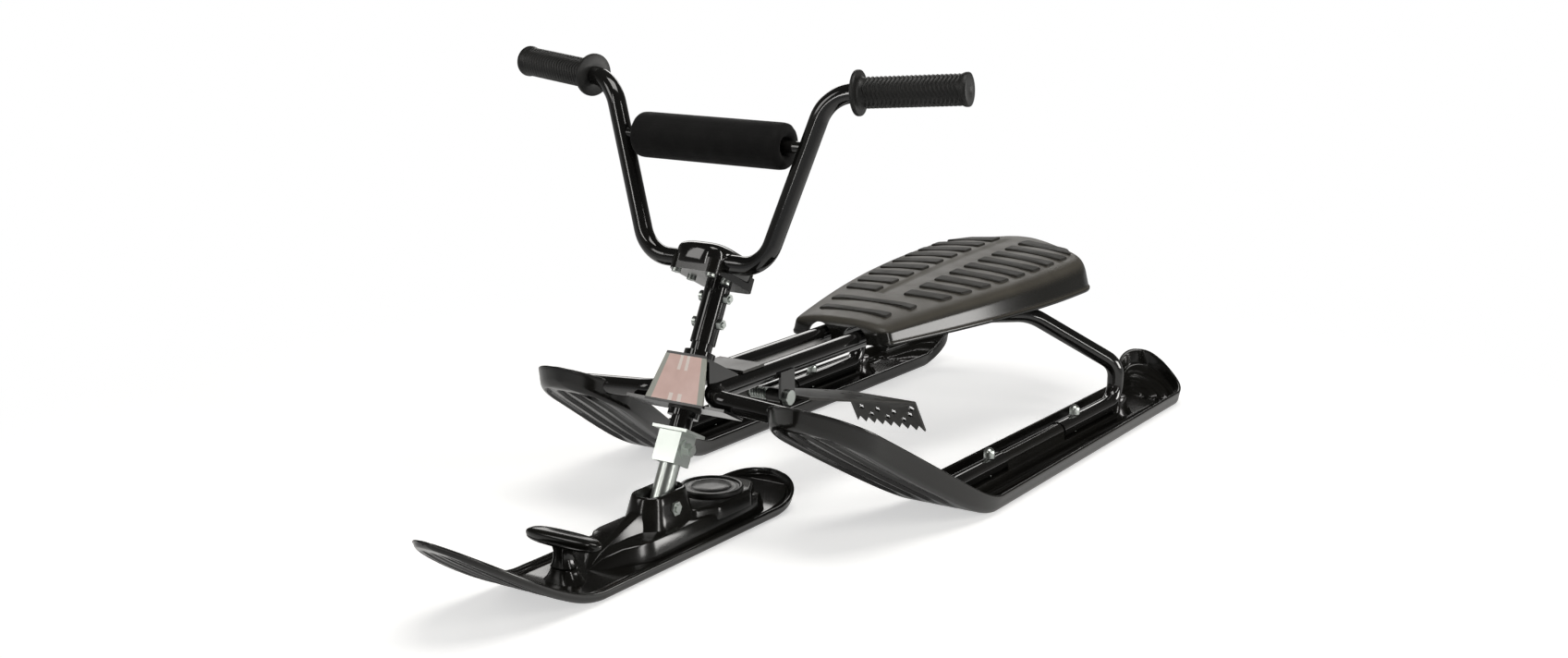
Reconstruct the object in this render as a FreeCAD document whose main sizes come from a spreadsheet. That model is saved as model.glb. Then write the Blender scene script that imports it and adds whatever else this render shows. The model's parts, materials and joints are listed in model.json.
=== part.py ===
import FreeCAD, Part

import math
import os
from types import SimpleNamespace

import Sketcher
from FreeCAD import Placement, Rotation, Vector

# Steering sled: a bent tube frame on two rear skis, a raked steering column on a
# pitching front ski, a sprung foot brake and a tow reel. Millimetres, +X forward,
# +Y to the rider's left, +Z up, the snow at zero.

SIZES = {
    # clearances and cuts
    "fit_gap": 0.3,
    "running_gap": 0.06,
    "seat_gap": 0.1,
    "overrun": 6.0,
    # steering axis
    "rake_angle": 27.0,
    "axis_ground_x": 278.0,
    # frame tubes
    "tube_radius": 10.0,
    "tube_wall": 1.6,
    "spine_y": 23.0,
    "spine_z": 147.0,
    "head_bend_x": 214.0,
    "head_bend_radius": 26.0,
    "nose_bend_x": 198.0,
    "nose_bend_y": 165.0,
    "nose_bend_drop": 15.0,
    "nose_bend_radius": 42.0,
    "rail_y": 184.0,
    "rail_z": 24.0,
    "rail_ramp_x": 18.0,
    "rail_front_end_x": -118.0,
    "rail_rear_end_x": -262.0,
    "heel_x": -420.0,
    "heel_top_z": 70.0,
    "heel_top_bend_radius": 26.0,
    "heel_bend_radius": 24.0,
    "hip_x": -350.0,
    "hip_y": 100.0,
    "hip_z": 136.0,
    "hip_bend_radius": 60.0,
    "spread_x": -225.0,
    "spread_bend_radius": 110.0,
    # rear skis
    "ski_nose_x": 234.0,
    "ski_bend_x": -24.0,
    "ski_tail_bend_x": -524.0,
    "ski_tail_x": -582.0,
    "ski_centre_y": 186.5,
    "ski_width": 99.0,
    "ski_rear_centre_y": 181.0,
    "ski_rear_width": 88.0,
    "ski_nose_centre_y": 144.0,
    "ski_nose_width": 118.0,
    "ski_tail_centre_y": 158.0,
    "ski_nose_rise": 136.0,
    "ski_tail_rise": 30.0,
    "ski_tail_tilt": 12.0,
    "ski_ramp_softness": 46.0,
    "ski_tail_softness": 14.0,
    "ski_nose_round": 56.0,
    "ski_tail_round": 44.0,
    "ski_wall_height": 19.0,
    "ski_nose_wall_height": 22.0,
    "ski_ramp_swell": 7.0,
    "ski_tail_wall_height": 22.0,
    "ski_wall": 4.0,
    "ski_trim": 0.5,
    "ski_floor": 5.0,
    "ski_draft": 2.0,
    "ski_chamfer": 4.0,
    "ski_rib_width": 24.0,
    "ski_rib_front_x": -20.0,
    "ski_rib_rear_x": -444.0,
    "ski_bolt_front_x": -92.0,
    "ski_bolt_rear_x": -306.0,
    "ski_bolt_radius": 3.0,
    "ski_bolt_head_radius": 7.0,
    "ski_bolt_head_height": 3.4,
    "dome_nut_radius": 6.0,
    "dome_nut_skirt": 5.0,
    # head bracket and shield
    "bracket_sheet": 3.0,
    "bracket_bottom_up": 146.0,
    "bracket_top_up": 193.0,
    "bracket_back": 36.0,
    "bracket_bottom_back": 16.0,
    "bracket_front": 20.0,
    "bracket_top_half_width": 26.0,
    "bracket_bottom_half_width": 60.0,
    "bracket_web_half_width": 22.0,
    "cheek_y": 26.0,
    "shield_sheet": 2.0,
    "shield_top_half_width": 24.0,
    "shield_bottom_half_width": 36.0,
    "shield_rise": 52.0,
    "gusset_front_x": 150.0,
    "gusset_length": 38.0,
    "gusset_sheet": 3.0,
    "spine_plate_front_x": 100.0,
    "spine_plate_length": 150.0,
    "spine_plate_sheet": 3.0,
    # column, bushes and collar
    "column_radius": 11.0,
    "column_wall": 2.0,
    "column_bottom_up": 124.0,
    "column_over_collar": 71.2,
    "bush_wall": 3.0,
    "bush_flange_radius": 17.0,
    "bush_flange": 2.5,
    "collar_radius": 16.0,
    "collar_height": 6.0,
    # stem, clamp and their bolts
    "stem_wall": 2.0,
    "stem_over_collar": 9.2,
    "stem_over_column": 9.0,
    "bolt_radius": 3.0,
    "bolt_head_radius": 5.6,
    "bolt_head_height": 4.0,
    "nut_radius": 5.6,
    "nut_height": 5.0,
    "stem_bolt_tail": 2.0,
    "clamp_half_width": 30.0,
    "clamp_front": 54.0,
    "clamp_back": 24.0,
    "clamp_base_height": 15.0,
    "clamp_cap_height": 18.0,
    "clamp_corner_radius": 12.0,
    "clamp_crown_radius": 7.0,
    "clamp_split": 0.8,
    "clamp_screw_radius": 2.5,
    "clamp_screw_head_radius": 4.6,
    "clamp_screw_head_height": 3.0,
    "clamp_screw_side": 21.0,
    "clamp_screw_reach": 14.0,
    # handlebar
    "bar_radius": 9.5,
    "bar_wall": 1.8,
    "bar_forward": 33.0,
    "bar_over_stem": 6.0,
    "bar_foot_half_width": 71.0,
    "bar_foot_bend_radius": 36.0,
    "bar_shoulder_half_width": 131.0,
    "bar_shoulder_forward": 92.0,
    "bar_shoulder_rise": 163.0,
    "bar_shoulder_bend_radius": 40.0,
    "bar_end_half_width": 264.0,
    "bar_end_forward": 71.5,
    "bar_end_rise": 184.0,
    "crossbar_radius": 6.0,
    "pad_radius": 24.0,
    "pad_crown": 1.5,
    "pad_end_round": 5.0,
    "pad_half_length": 89.0,
    # grips
    "grip_radius": 15.0,
    "grip_swell": 1.5,
    "grip_rib_depth": 1.0,
    "grip_flange_radius": 22.0,
    "grip_flange": 5.0,
    "grip_end_wall": 4.0,
    "grip_rib_count": 14,
    # strut and its bracket
    "strut_radius": 10.5,
    "strut_wall": 2.0,
    "strut_bottom_up": 37.0,
    "strut_bracket_sheet": 3.0,
    "strut_flange_half_width": 21.0,
    "strut_flange_half_length": 17.0,
    "strut_cheek_height": 32.0,
    "strut_cheek_half_length": 13.0,
    "strut_bolt_drop": 15.0,
    "strut_bolt_radius": 4.0,
    "strut_washer_radius": 10.0,
    "strut_washer": 1.6,
    "strut_nut_radius": 7.0,
    "strut_nut_height": 6.5,
    # front ski
    "front_nose_x": 583.4,
    "front_bend_x": 404.0,
    "front_tail_bend_x": 122.0,
    "front_tail_x": 58.0,
    "front_width": 110.0,
    "front_nose_width": 100.0,
    "front_rear_width": 106.0,
    "front_nose_rise": 88.0,
    "front_tail_rise": 18.0,
    "front_nose_softness": 60.0,
    "front_tail_softness": 20.0,
    "front_nose_round": 92.0,
    "front_tail_round": 50.0,
    "front_wall_height": 12.0,
    "front_wall": 4.0,
    "front_floor": 6.0,
    "front_draft": 1.5,
    "front_chamfer": 4.0,
    "pedestal_front_x": 352.0,
    "pedestal_rear_x": 128.0,
    "pedestal_half_width": 41.0,
    "pedestal_top_half_width": 37.0,
    "pedestal_z": 28.0,
    "tower_length": 88.0,
    "tower_half_width": 25.0,
    "tower_top_length": 64.0,
    "tower_top_half_width": 18.0,
    "tower_z": 58.0,
    "tower_slot_length": 50.0,
    "tower_slot_floor_z": 22.0,
    "ski_pivot_up": 47.0,
    "ski_pivot_radius": 4.0,
    "ski_pivot_head_radius": 7.5,
    "ski_pivot_head_height": 5.0,
    "ski_pivot_boss_radius": 11.0,
    # tow reel
    "reel_x": 168.0,
    "reel_radius": 33.0,
    "reel_wall": 3.0,
    "reel_top_z": 38.0,
    "reel_floor_z": 10.0,
    "reel_cover": 3.0,
    "reel_ring": 4.0,
    "reel_ring_rise": 1.6,
    "reel_axle_radius": 4.0,
    "spool_radius": 26.0,
    "spool_drum_radius": 15.0,
    "spool_flange": 1.6,
    "spool_height": 13.0,
    "reel_spring_strip": 0.8,
    "reel_spring_pitch": 2.4,
    "reel_spring_height": 6.0,
    "reel_spring_turns": 4,
    "cord_bore_radius": 3.5,
    "cord_bore_z": 13.5,
    "eyelet_wall": 1.5,
    "eyelet_seat_depth": 2.0,
    "eyelet_barrel": 9.0,
    "eyelet_flange": 2.0,
    "eyelet_flange_radius": 6.5,
    # tow handle
    "handle_x": 402.0,
    "handle_z": 48.0,
    "handle_half_length": 44.0,
    "handle_radius": 7.5,
    "handle_neck_radius": 8.0,
    "handle_neck_bottom_z": 22.0,
    "handle_peg_radius": 5.0,
    "handle_peg_bottom_z": 9.0,
    "dock_radius": 12.0,
    "dock_z": 21.0,
    # seat
    "seat_front_x": -72.0,
    "seat_rear_x": -540.0,
    "seat_front_half_width": 62.0,
    "seat_half_width": 118.0,
    "seat_widest_x": -440.0,
    "seat_lip_z": 144.0,
    "seat_front_top_z": 169.0,
    "seat_top_z": 194.0,
    "seat_wall": 3.5,
    "seat_draft": 9.0,
    "seat_shoulder": 10.0,
    "seat_crown": 13.0,
    "seat_front_crown": 3.0,
    "seat_front_round": 26.0,
    "seat_rear_round": 58.0,
    "seat_notch_half_width": 38.0,
    "seat_notch_depth": 16.0,
    "seat_notch_length": 40.0,
    "strap_width": 26.0,
    "strap_sheet": 3.0,
    "front_strap_x": -130.0,
    "front_strap_half_length": 46.0,
    "rear_strap_x": -290.0,
    "rear_strap_z": 150.0,
    "rear_strap_half_length": 84.0,
    "boss_radius": 8.0,
    "front_boss_y": 9.0,
    "rear_boss_y": 40.0,
    "seat_screw_radius": 2.5,
    "seat_screw_head_radius": 5.0,
    "seat_screw_head_height": 2.6,
    "seat_screw_reach": 9.0,
    # seat treads
    "tread_height": 2.2,
    "tread_corner": 4.0,
    "bar_tread_length": 14.0,
    "bar_tread_front_x": -104.0,
    "bar_tread_pitch": 40.0,
    "tread_first_x": -186.0,
    "tread_rear_margin": 40.0,
    "tread_length": 17.0,
    "tread_channel_half_width": 15.0,
    "tread_edge_margin": 26.0,
    "tread_sweep": 9.0,
    "tread_rows": 9,
    # brake
    "brake_hinge_x": 80.0,
    "brake_hinge_z": 118.0,
    "brake_sheet": 3.0,
    "brake_barrel_radius": 7.0,
    "brake_barrel_half_length": 30.0,
    "brake_barrel_inner": 12.0,
    "brake_shaft_radius": 4.0,
    "brake_knee_x": -170.0,
    "brake_knee_z": 57.0,
    "brake_claw_x": -196.0,
    "brake_claw_z": 17.0,
    "brake_arm_half_width": 30.0,
    "brake_half_width": 46.0,
    "brake_tooth_depth": 9.0,
    "brake_tooth_count": 8,
    "brake_star_radius": 5.0,
    "brake_star_inner_radius": 3.0,
    "brake_star_points": 8,
    "brake_star_pitch": 22.0,
    "brake_star_row": 34.0,
    "brake_bracket_sheet": 3.0,
    "brake_bracket_half_width": 13.0,
    "brake_bracket_round": 11.0,
    "brake_clip_radius": 8.0,
    "brake_clip": 4.0,
    "brake_spring_wire": 1.0,
    "brake_spring_radius": 5.4,
    "brake_spring_pitch": 3.2,
    "brake_spring_turns": 5,
    "brake_spring_leg": 34.0,
}

doc = FreeCAD.newDocument("steering_sled")
sheet = doc.addObject("Spreadsheet::Sheet", "sizes")
for row, (alias, number) in enumerate(SIZES.items(), start=1):
    sheet.set(f"A{row}", alias)
    sheet.set(f"B{row}", str(number))
    sheet.setAlias(f"B{row}", alias)
doc.recompute()
S = SimpleNamespace(**{alias: float(sheet.get(alias)) for alias in SIZES})

FORWARD = Vector(1, 0, 0)
LEFT = Vector(0, 1, 0)
UP = Vector(0, 0, 1)
FULL_TURN = 360.0
QUARTER_TURN = 90.0
NODES = []


# Sheet formulas
def terms(formula):
    """Split a sum of aliases, each with an optional divisor, into signed terms."""
    for term in formula.replace(" - ", " + -").split(" + "):
        sign = -1.0 if term.startswith("-") else 1.0
        name, _, divisor = term.lstrip("-").partition(" / ")
        yield sign, name, float(divisor or 1.0)


def total(formula):
    """Value of a formula, read from the sheet."""
    return sum(sign * getattr(S, name) / divisor for sign, name, divisor in terms(formula))


def bound(formula):
    """The same formula as an expression on the sheet."""
    signs = {1.0: "+", -1.0: "-"}
    text = " ".join(f"{signs[sign]} sizes.{name} / {divisor}" for sign, name, divisor in terms(formula))
    return text.lstrip("+ ")


# Placements
STEERING = Placement(Vector(S.axis_ground_x, 0, 0), Rotation(LEFT, -S.rake_angle))
ALONG_LEFT = Rotation(FORWARD, -QUARTER_TURN)
ALONG_FORWARD = Rotation(LEFT, QUARTER_TURN)


def in_steering(forward=0.0, left=0.0, up=0.0, turn=Rotation()):
    """Placement measured from the raked steering axis."""
    return STEERING.multiply(Placement(Vector(forward, left, up), turn))


def at(x=0.0, y=0.0, z=0.0, turn=Rotation()):
    """Placement in the sled's own frame."""
    return Placement(Vector(x, y, z), turn)


# Document objects
def keep(piece, label):
    """Name a finished piece and list it for writing."""
    piece.Label = label
    NODES.append(piece)
    return piece


def shaped(label, shape, placement=Placement()):
    """A piece whose shape is worked out here from the sheet's sizes."""
    feature = doc.addObject("Part::Feature", label)
    feature.Shape = shape
    feature.Placement = placement
    return keep(feature, label)


def cylinder(name, radius, height, placement):
    """A cylinder bound to the sheet, along its own Z."""
    solid = doc.addObject("Part::Cylinder", name)
    solid.setExpression("Radius", bound(radius))
    solid.setExpression("Height", bound(height))
    solid.Placement = placement
    return solid


def united(name, solids):
    """Several solids joined into one."""
    fuse = doc.addObject("Part::MultiFuse", name)
    fuse.Shapes = solids
    return fuse


def carved(label, base, tools):
    """A finished piece: one solid with others cut from it."""
    cut = doc.addObject("Part::Cut", label)
    cut.Base = base
    cut.Tool = tools[0] if len(tools) == 1 else united(label + "_cuts", tools)
    return keep(cut, label)


# Sketched pieces
def sketch_on(body, role):
    """A sketch on one of the body's own origin planes."""
    plane = next(item for item in body.Origin.OriginFeatures if item.Role == role)
    sketch = body.newObject("Sketcher::SketchObject", body.Name + "_sketch")
    sketch.AttachmentSupport = [(plane, "")]
    sketch.MapMode = "FlatFace"
    return sketch


def pin_point(sketch, geometry, point, across, along):
    """Hold a point at two formulas, or on an axis where the formula is empty."""
    for kind, formula, axis in (("DistanceX", across, -2), ("DistanceY", along, -1)):
        if not formula:
            sketch.addConstraint(Sketcher.Constraint("PointOnObject", geometry, point, axis))
            continue
        index = sketch.addConstraint(Sketcher.Constraint(kind, -1, 1, geometry, point, total(formula)))
        sketch.setExpression(f"Constraints[{index}]", bound(formula))


def draw_outline(sketch, points):
    """A closed outline of straight lines whose corners follow the sheet."""
    corners = [Vector(total(a) if a else 0, total(b) if b else 0, 0) for a, b in points]
    count = len(corners)
    for index, corner in enumerate(corners):
        sketch.addGeometry(Part.LineSegment(corner, corners[(index + 1) % count]), False)
    for index, (across, along) in enumerate(points):
        sketch.addConstraint(Sketcher.Constraint("Coincident", index, 2, (index + 1) % count, 1))
        pin_point(sketch, index, 1, across, along)


def draw_hole(sketch, across, along, radius):
    """A round hole in a sketch."""
    middle = Vector(total(across) if across else 0, total(along) if along else 0, 0)
    circle = sketch.addGeometry(Part.Circle(middle, UP, total(radius)), False)
    pin_point(sketch, circle, 3, across, along)
    index = sketch.addConstraint(Sketcher.Constraint("Radius", circle, total(radius)))
    sketch.setExpression(f"Constraints[{index}]", bound(radius))


def turned(label, profile, placement):
    """A body turned about its own Z from a profile of radius and height."""
    body = doc.addObject("PartDesign::Body", label)
    sketch = sketch_on(body, "XZ_Plane")
    draw_outline(sketch, profile)
    doc.recompute()
    turn = body.newObject("PartDesign::Revolution", label + "_turn")
    turn.Profile = sketch
    turn.ReferenceAxis = (sketch, ["V_Axis"])
    turn.Angle = FULL_TURN
    body.Placement = placement
    return keep(body, label)


def sheet_piece(label, role, outline, thickness, placement, holes=()):
    """A flat body cut from sheet, with its holes."""
    body = doc.addObject("PartDesign::Body", label)
    sketch = sketch_on(body, role)
    draw_outline(sketch, outline)
    for hole in holes:
        draw_hole(sketch, *hole)
    doc.recompute()
    pad = body.newObject("PartDesign::Pad", label + "_pad")
    pad.Profile = sketch
    pad.setExpression("Length", bound(thickness))
    body.Placement = placement
    return keep(body, label)


# Bent tubes
def bent_path(points, radii):
    """Straight runs joined by arcs of the given radii."""
    edges = []
    start = points[0]
    for before, corner, after, radius in zip(points, points[1:], points[2:], radii):
        back = (before - corner).normalize()
        ahead = (after - corner).normalize()
        half = back.getAngle(ahead) / 2
        enter = corner + back * (radius / math.tan(half))
        leave = corner + ahead * (radius / math.tan(half))
        inward = (back + ahead).normalize()
        middle = corner + inward * (radius / math.sin(half) - radius)
        edges.append(Part.LineSegment(start, enter).toShape())
        edges.append(Part.Arc(enter, middle, leave).toShape())
        start = leave
    edges.append(Part.LineSegment(start, points[-1]).toShape())
    return Part.Wire(edges)


def rod_along(points, radii, radius):
    """A solid round rod along a bent path."""
    ring = Part.Wire(Part.makeCircle(radius, points[0], points[1] - points[0]))
    return bent_path(points, radii).makePipeShell([ring], True, False)


def tube_along(points, radii, radius, wall):
    """A hollow round tube along a bent path."""
    return rod_along(points, radii, radius).cut(rod_along(points, radii, radius - wall))


# Lofted shells
def clamp_share(value):
    """Hold a share between zero and one."""
    return max(0.0, min(1.0, value))


def eased(start, end, share):
    """Go smoothly from start to end."""
    return start + (end - start) * share * share * (3 - 2 * share)


def ramp(distance, length, softness):
    """Rise of a ramp as a share: flat at its foot, straight at its top."""
    return (math.hypot(distance, softness) - softness) / (math.hypot(length, softness) - softness)


def end_round(distance, radius, power):
    """Share of the width that is left at a distance into a rounded end."""
    return (1 - clamp_share(distance / radius) ** power) ** (1 / power)


def ring_at(x, points):
    """A closed outline across the part at one station."""
    corners = [Vector(x, y, z) for y, z in points]
    return Part.makePolygon(corners + corners[:1])


def lofted(sections):
    """A solid with straight runs between its stations."""
    return Part.makeLoft(sections, True, True)


def hexagon(radius, height, placement):
    """A six-sided prism along its own Z."""
    corners = [Vector(radius, 0, 0)]
    for _ in range(6):
        corners.append(Rotation(UP, FULL_TURN / 6).multVec(corners[-1]))
    prism = Part.Face(Part.makePolygon(corners[:6] + corners[:1])).extrude(UP * height)
    prism.Placement = placement
    return prism


def round_bar(radius, height, placement):
    """A cylinder shape along its own Z."""
    bar = Part.makeCylinder(radius, height)
    bar.Placement = placement
    return bar


def slab(low, high, placement=Placement()):
    """A box shape between two corners."""
    size = high - low
    solid = Part.makeBox(size.x, size.y, size.z, low)
    solid.Placement = placement
    return solid


def stadium(length, half_width, x, z):
    """A closed outline with two straight sides and round ends."""
    run = length / 2 - half_width
    left_front = Vector(x + run, half_width, z)
    left_rear = Vector(x - run, half_width, z)
    right_front = Vector(x + run, -half_width, z)
    right_rear = Vector(x - run, -half_width, z)
    front = Part.Arc(right_front, Vector(x + length / 2, 0, z), left_front).toShape()
    rear = Part.Arc(left_rear, Vector(x - length / 2, 0, z), right_rear).toShape()
    sides = [Part.makeLine(left_front, left_rear), Part.makeLine(right_rear, right_front)]
    return Part.Wire([front, sides[0], rear, sides[1]])


# Frame tubes
def frame_tube_points(side):
    """Centre line of one side's tube, from the ski's front to its rear end."""
    nose_z = S.spine_z - S.nose_bend_drop
    points = [
        Vector(S.rail_front_end_x, S.rail_y, S.rail_z),
        Vector(S.rail_ramp_x, S.rail_y, S.rail_z),
        Vector(S.nose_bend_x, S.nose_bend_y, nose_z),
        Vector(S.head_bend_x, S.spine_y, S.spine_z),
        Vector(S.spread_x, S.spine_y, S.spine_z),
        Vector(S.hip_x, S.hip_y, S.hip_z),
        Vector(S.heel_x, S.rail_y, S.heel_top_z),
        Vector(S.heel_x, S.rail_y, S.rail_z),
        Vector(S.rail_rear_end_x, S.rail_y, S.rail_z),
    ]
    return [Vector(p.x, side * p.y, p.z) for p in points]


FRAME_BENDS = [
    S.spread_bend_radius,
    S.nose_bend_radius,
    S.head_bend_radius,
    S.spread_bend_radius,
    S.hip_bend_radius,
    S.heel_top_bend_radius,
    S.heel_bend_radius,
]
SIDES = {"left": 1, "right": -1}
frame_rods = {}
for side_name, side in SIDES.items():
    points = frame_tube_points(side)
    frame_rods[side_name] = rod_along(points, FRAME_BENDS, S.tube_radius)
    shaped(side_name + "_frame_tube", tube_along(points, FRAME_BENDS, S.tube_radius, S.tube_wall))
both_rods = frame_rods["left"].fuse(frame_rods["right"])


# Skis
ROUND_SHARES = (0.0, 0.4, 0.68, 0.86, 0.97)
RAMP_SHARES = (0.12, 0.26, 0.42, 0.6, 0.8)


def ski_stations(ski):
    """Places along a ski where its section is set, from nose to tail."""
    nose_start = ski.nose_x - ski.nose_round
    tail_start = ski.tail_x + ski.tail_round
    nose = [nose_start + ski.nose_round * share for share in reversed(ROUND_SHARES)]
    rise = [ski.bend_x + (nose_start - ski.bend_x) * share for share in reversed(RAMP_SHARES)]
    tail = [tail_start - ski.tail_round * share for share in ROUND_SHARES]
    fall = [ski.tail_bend_x + (tail_start - ski.tail_bend_x) * share for share in RAMP_SHARES[1::2]]
    middle = (ski.bend_x + ski.tail_bend_x) / 2
    return nose + rise + [ski.bend_x, middle, ski.tail_bend_x] + fall + tail


def ski_section(ski, x, is_end):
    """Channel section of a ski: two drafted walls on a chamfered floor."""
    nose = clamp_share((x - ski.bend_x) / (ski.nose_x - ski.bend_x))
    tail = clamp_share((ski.tail_bend_x - x) / (ski.tail_bend_x - ski.tail_x))
    run = clamp_share((ski.bend_x - x) / (ski.bend_x - ski.tail_bend_x))
    middle = eased(ski.centre_y, ski.nose_centre_y, nose) + (ski.rear_centre_y - ski.centre_y) * run
    middle += eased(0, ski.tail_centre_y - ski.rear_centre_y, tail)
    width = ski.width + (ski.nose_width - ski.width) * nose + (ski.rear_width - ski.width) * run
    half = width / 2
    half *= end_round(x - ski.nose_x + ski.nose_round, ski.nose_round, 2)
    half *= end_round(ski.tail_x + ski.tail_round - x, ski.tail_round, 2)
    low = ski.nose_rise * ramp(max(0, x - ski.bend_x), ski.nose_x - ski.bend_x, ski.nose_softness)
    lift = ramp(max(0, ski.tail_bend_x - x), ski.tail_bend_x - ski.tail_x, ski.tail_softness)
    low += ski.tail_rise * lift
    height = ski.wall_height + (ski.tail_wall_height - ski.wall_height) * tail
    height += (ski.nose_wall_height - ski.wall_height) * nose + ski.ramp_swell * 4 * nose * (1 - nose)
    high = low + height
    bed = high - ski.floor / 2 if is_end else low + ski.floor
    foot = half - ski.draft
    inner = half - ski.wall
    sole = low - S.ski_trim
    points = [(-half, high), (-foot, low + ski.chamfer), (ski.chamfer - foot, sole)]
    points += [(foot - ski.chamfer, sole), (foot, low + ski.chamfer), (half, high)]
    points += [(inner, high), (inner - ski.draft, bed), (ski.draft - inner, bed), (-inner, high)]
    slope = ski.tail_tilt * lift / (ski.rear_width / 2)
    return ring_at(x, [(middle + y, z - slope * y) for y, z in points])


def ski_shell(ski):
    """A ski with an upturned nose and tail and a rim all round, cut flat where it stands."""
    stations = ski_stations(ski)
    ends = (stations[0], stations[-1])
    shell = lofted([ski_section(ski, x, x in ends) for x in stations])
    ground_low = Vector(ski.tail_x, ski.centre_y - ski.width, -S.overrun)
    ground_high = Vector(ski.nose_x, ski.centre_y + ski.width, 0)
    return shell.cut(slab(ground_low, ground_high))


def rear_ski(side_name, side):
    """One rear ski with the rib that carries the tube and its bolt holes."""
    ski = SimpleNamespace(
        nose_x=S.ski_nose_x, bend_x=S.ski_bend_x, tail_bend_x=S.ski_tail_bend_x, tail_x=S.ski_tail_x,
        centre_y=side * S.ski_centre_y, nose_centre_y=side * S.ski_nose_centre_y,
        rear_centre_y=side * S.ski_rear_centre_y, tail_centre_y=side * S.ski_tail_centre_y,
        width=S.ski_width, nose_width=S.ski_nose_width, rear_width=S.ski_rear_width,
        nose_rise=S.ski_nose_rise, tail_rise=S.ski_tail_rise, tail_tilt=side * S.ski_tail_tilt,
        nose_softness=S.ski_ramp_softness, tail_softness=S.ski_tail_softness,
        nose_round=S.ski_nose_round, tail_round=S.ski_tail_round, wall_height=S.ski_wall_height,
        nose_wall_height=S.ski_nose_wall_height, tail_wall_height=S.ski_tail_wall_height,
        ramp_swell=S.ski_ramp_swell, wall=S.ski_wall, floor=S.ski_floor,
        draft=S.ski_draft, chamfer=S.ski_chamfer,
    )
    rib_low = Vector(S.ski_rib_rear_x, side * S.rail_y - S.ski_rib_width / 2, S.ski_floor / 2)
    rib_high = Vector(S.ski_rib_front_x, side * S.rail_y + S.ski_rib_width / 2, S.rail_z - S.tube_radius)
    shape = ski_shell(ski).fuse(slab(rib_low, rib_high))
    shape = shape.cut(rod_along(frame_tube_points(side), FRAME_BENDS, S.tube_radius + S.seat_gap))
    for x in (S.ski_bolt_front_x, S.ski_bolt_rear_x):
        shape = shape.cut(round_bar(S.ski_bolt_radius + S.seat_gap, S.rail_z, at(x, side * S.rail_y, 0)))
        sink_depth = S.ski_bolt_head_height + S.fit_gap
        sink = round_bar(S.ski_bolt_head_radius + S.seat_gap, sink_depth, at(x, side * S.rail_y))
        shape = shape.cut(sink)
    shaped(side_name + "_rear_ski", shape.removeSplitter())


for side_name, side in SIDES.items():
    rear_ski(side_name, side)


def ski_fasteners():
    """Bolts from below through each ski rib and tube, with dome nuts on top."""
    bolts = []
    nuts = []
    top = S.rail_z + S.tube_radius
    for side in SIDES.values():
        for x in (S.ski_bolt_front_x, S.ski_bolt_rear_x):
            place = at(x, side * S.rail_y, S.fit_gap)
            head = round_bar(S.ski_bolt_head_radius, S.ski_bolt_head_height, place)
            shank = round_bar(S.ski_bolt_radius, top + S.dome_nut_skirt - S.fit_gap, place)
            bolts.append(head.fuse(shank))
            skirt = round_bar(S.dome_nut_radius, S.dome_nut_skirt, at(x, side * S.rail_y, top))
            dome = Part.makeSphere(S.dome_nut_radius, Vector(x, side * S.rail_y, top + S.dome_nut_skirt))
            nut = skirt.fuse(dome).cut(shank)
            below_place = at(x, side * S.rail_y, top - S.dome_nut_radius)
            below = round_bar(S.dome_nut_radius, S.dome_nut_radius, below_place)
            nuts.append(nut.cut(below))
    shaped("ski_bolts", Part.makeCompound(bolts))
    shaped("ski_nuts", Part.makeCompound(nuts))


ski_fasteners()
for side_name, side in SIDES.items():
    tube = next(node for node in NODES if node.Label == side_name + "_frame_tube")
    for x in (S.ski_bolt_front_x, S.ski_bolt_rear_x):
        drill_height = S.rail_z + S.tube_radius + S.overrun
        drill = round_bar(S.ski_bolt_radius + S.seat_gap, drill_height, at(x, side * S.rail_y))
        tube.Shape = tube.Shape.cut(drill)


# Head bracket, shield and plates
def head_bracket():
    """Folded bracket between the tubes that carries the column's two bushes."""
    sheet_up = S.bracket_sheet
    top_up = S.bracket_top_up
    low_up = S.bracket_bottom_up
    half = S.bracket_top_half_width
    wide = S.bracket_bottom_half_width
    web = S.bracket_web_half_width
    front = S.bracket_front
    top = slab(Vector(-S.bracket_back, -half, top_up), Vector(front, half, top_up + sheet_up))
    bottom = slab(Vector(-S.bracket_bottom_back, -wide, low_up), Vector(front, wide, low_up + sheet_up))
    face = slab(Vector(front - sheet_up, -web, low_up), Vector(front, web, top_up + sheet_up))
    bore = round_bar(S.column_radius + S.bush_wall, top_up + S.overrun, at())
    shape = top.fuse([bottom, face]).cut(bore)
    shape.Placement = STEERING
    rear_top = in_steering(-S.bracket_back, 0, top_up).Base
    front_top = in_steering(front - sheet_up, 0, top_up).Base
    corners = [rear_top, front_top, Vector(front_top.x, 0, S.spine_z), Vector(rear_top.x, 0, S.spine_z)]
    cheek = Part.Face(Part.makePolygon(corners + corners[:1]))
    for side in SIDES.values():
        plate = cheek.extrude(LEFT * sheet_up)
        inner = S.cheek_y - sheet_up if side > 0 else -S.cheek_y
        plate.translate(LEFT * inner)
        shape = shape.fuse(plate)
    shaped("head_bracket", shape.cut(both_rods).removeSplitter())


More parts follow.
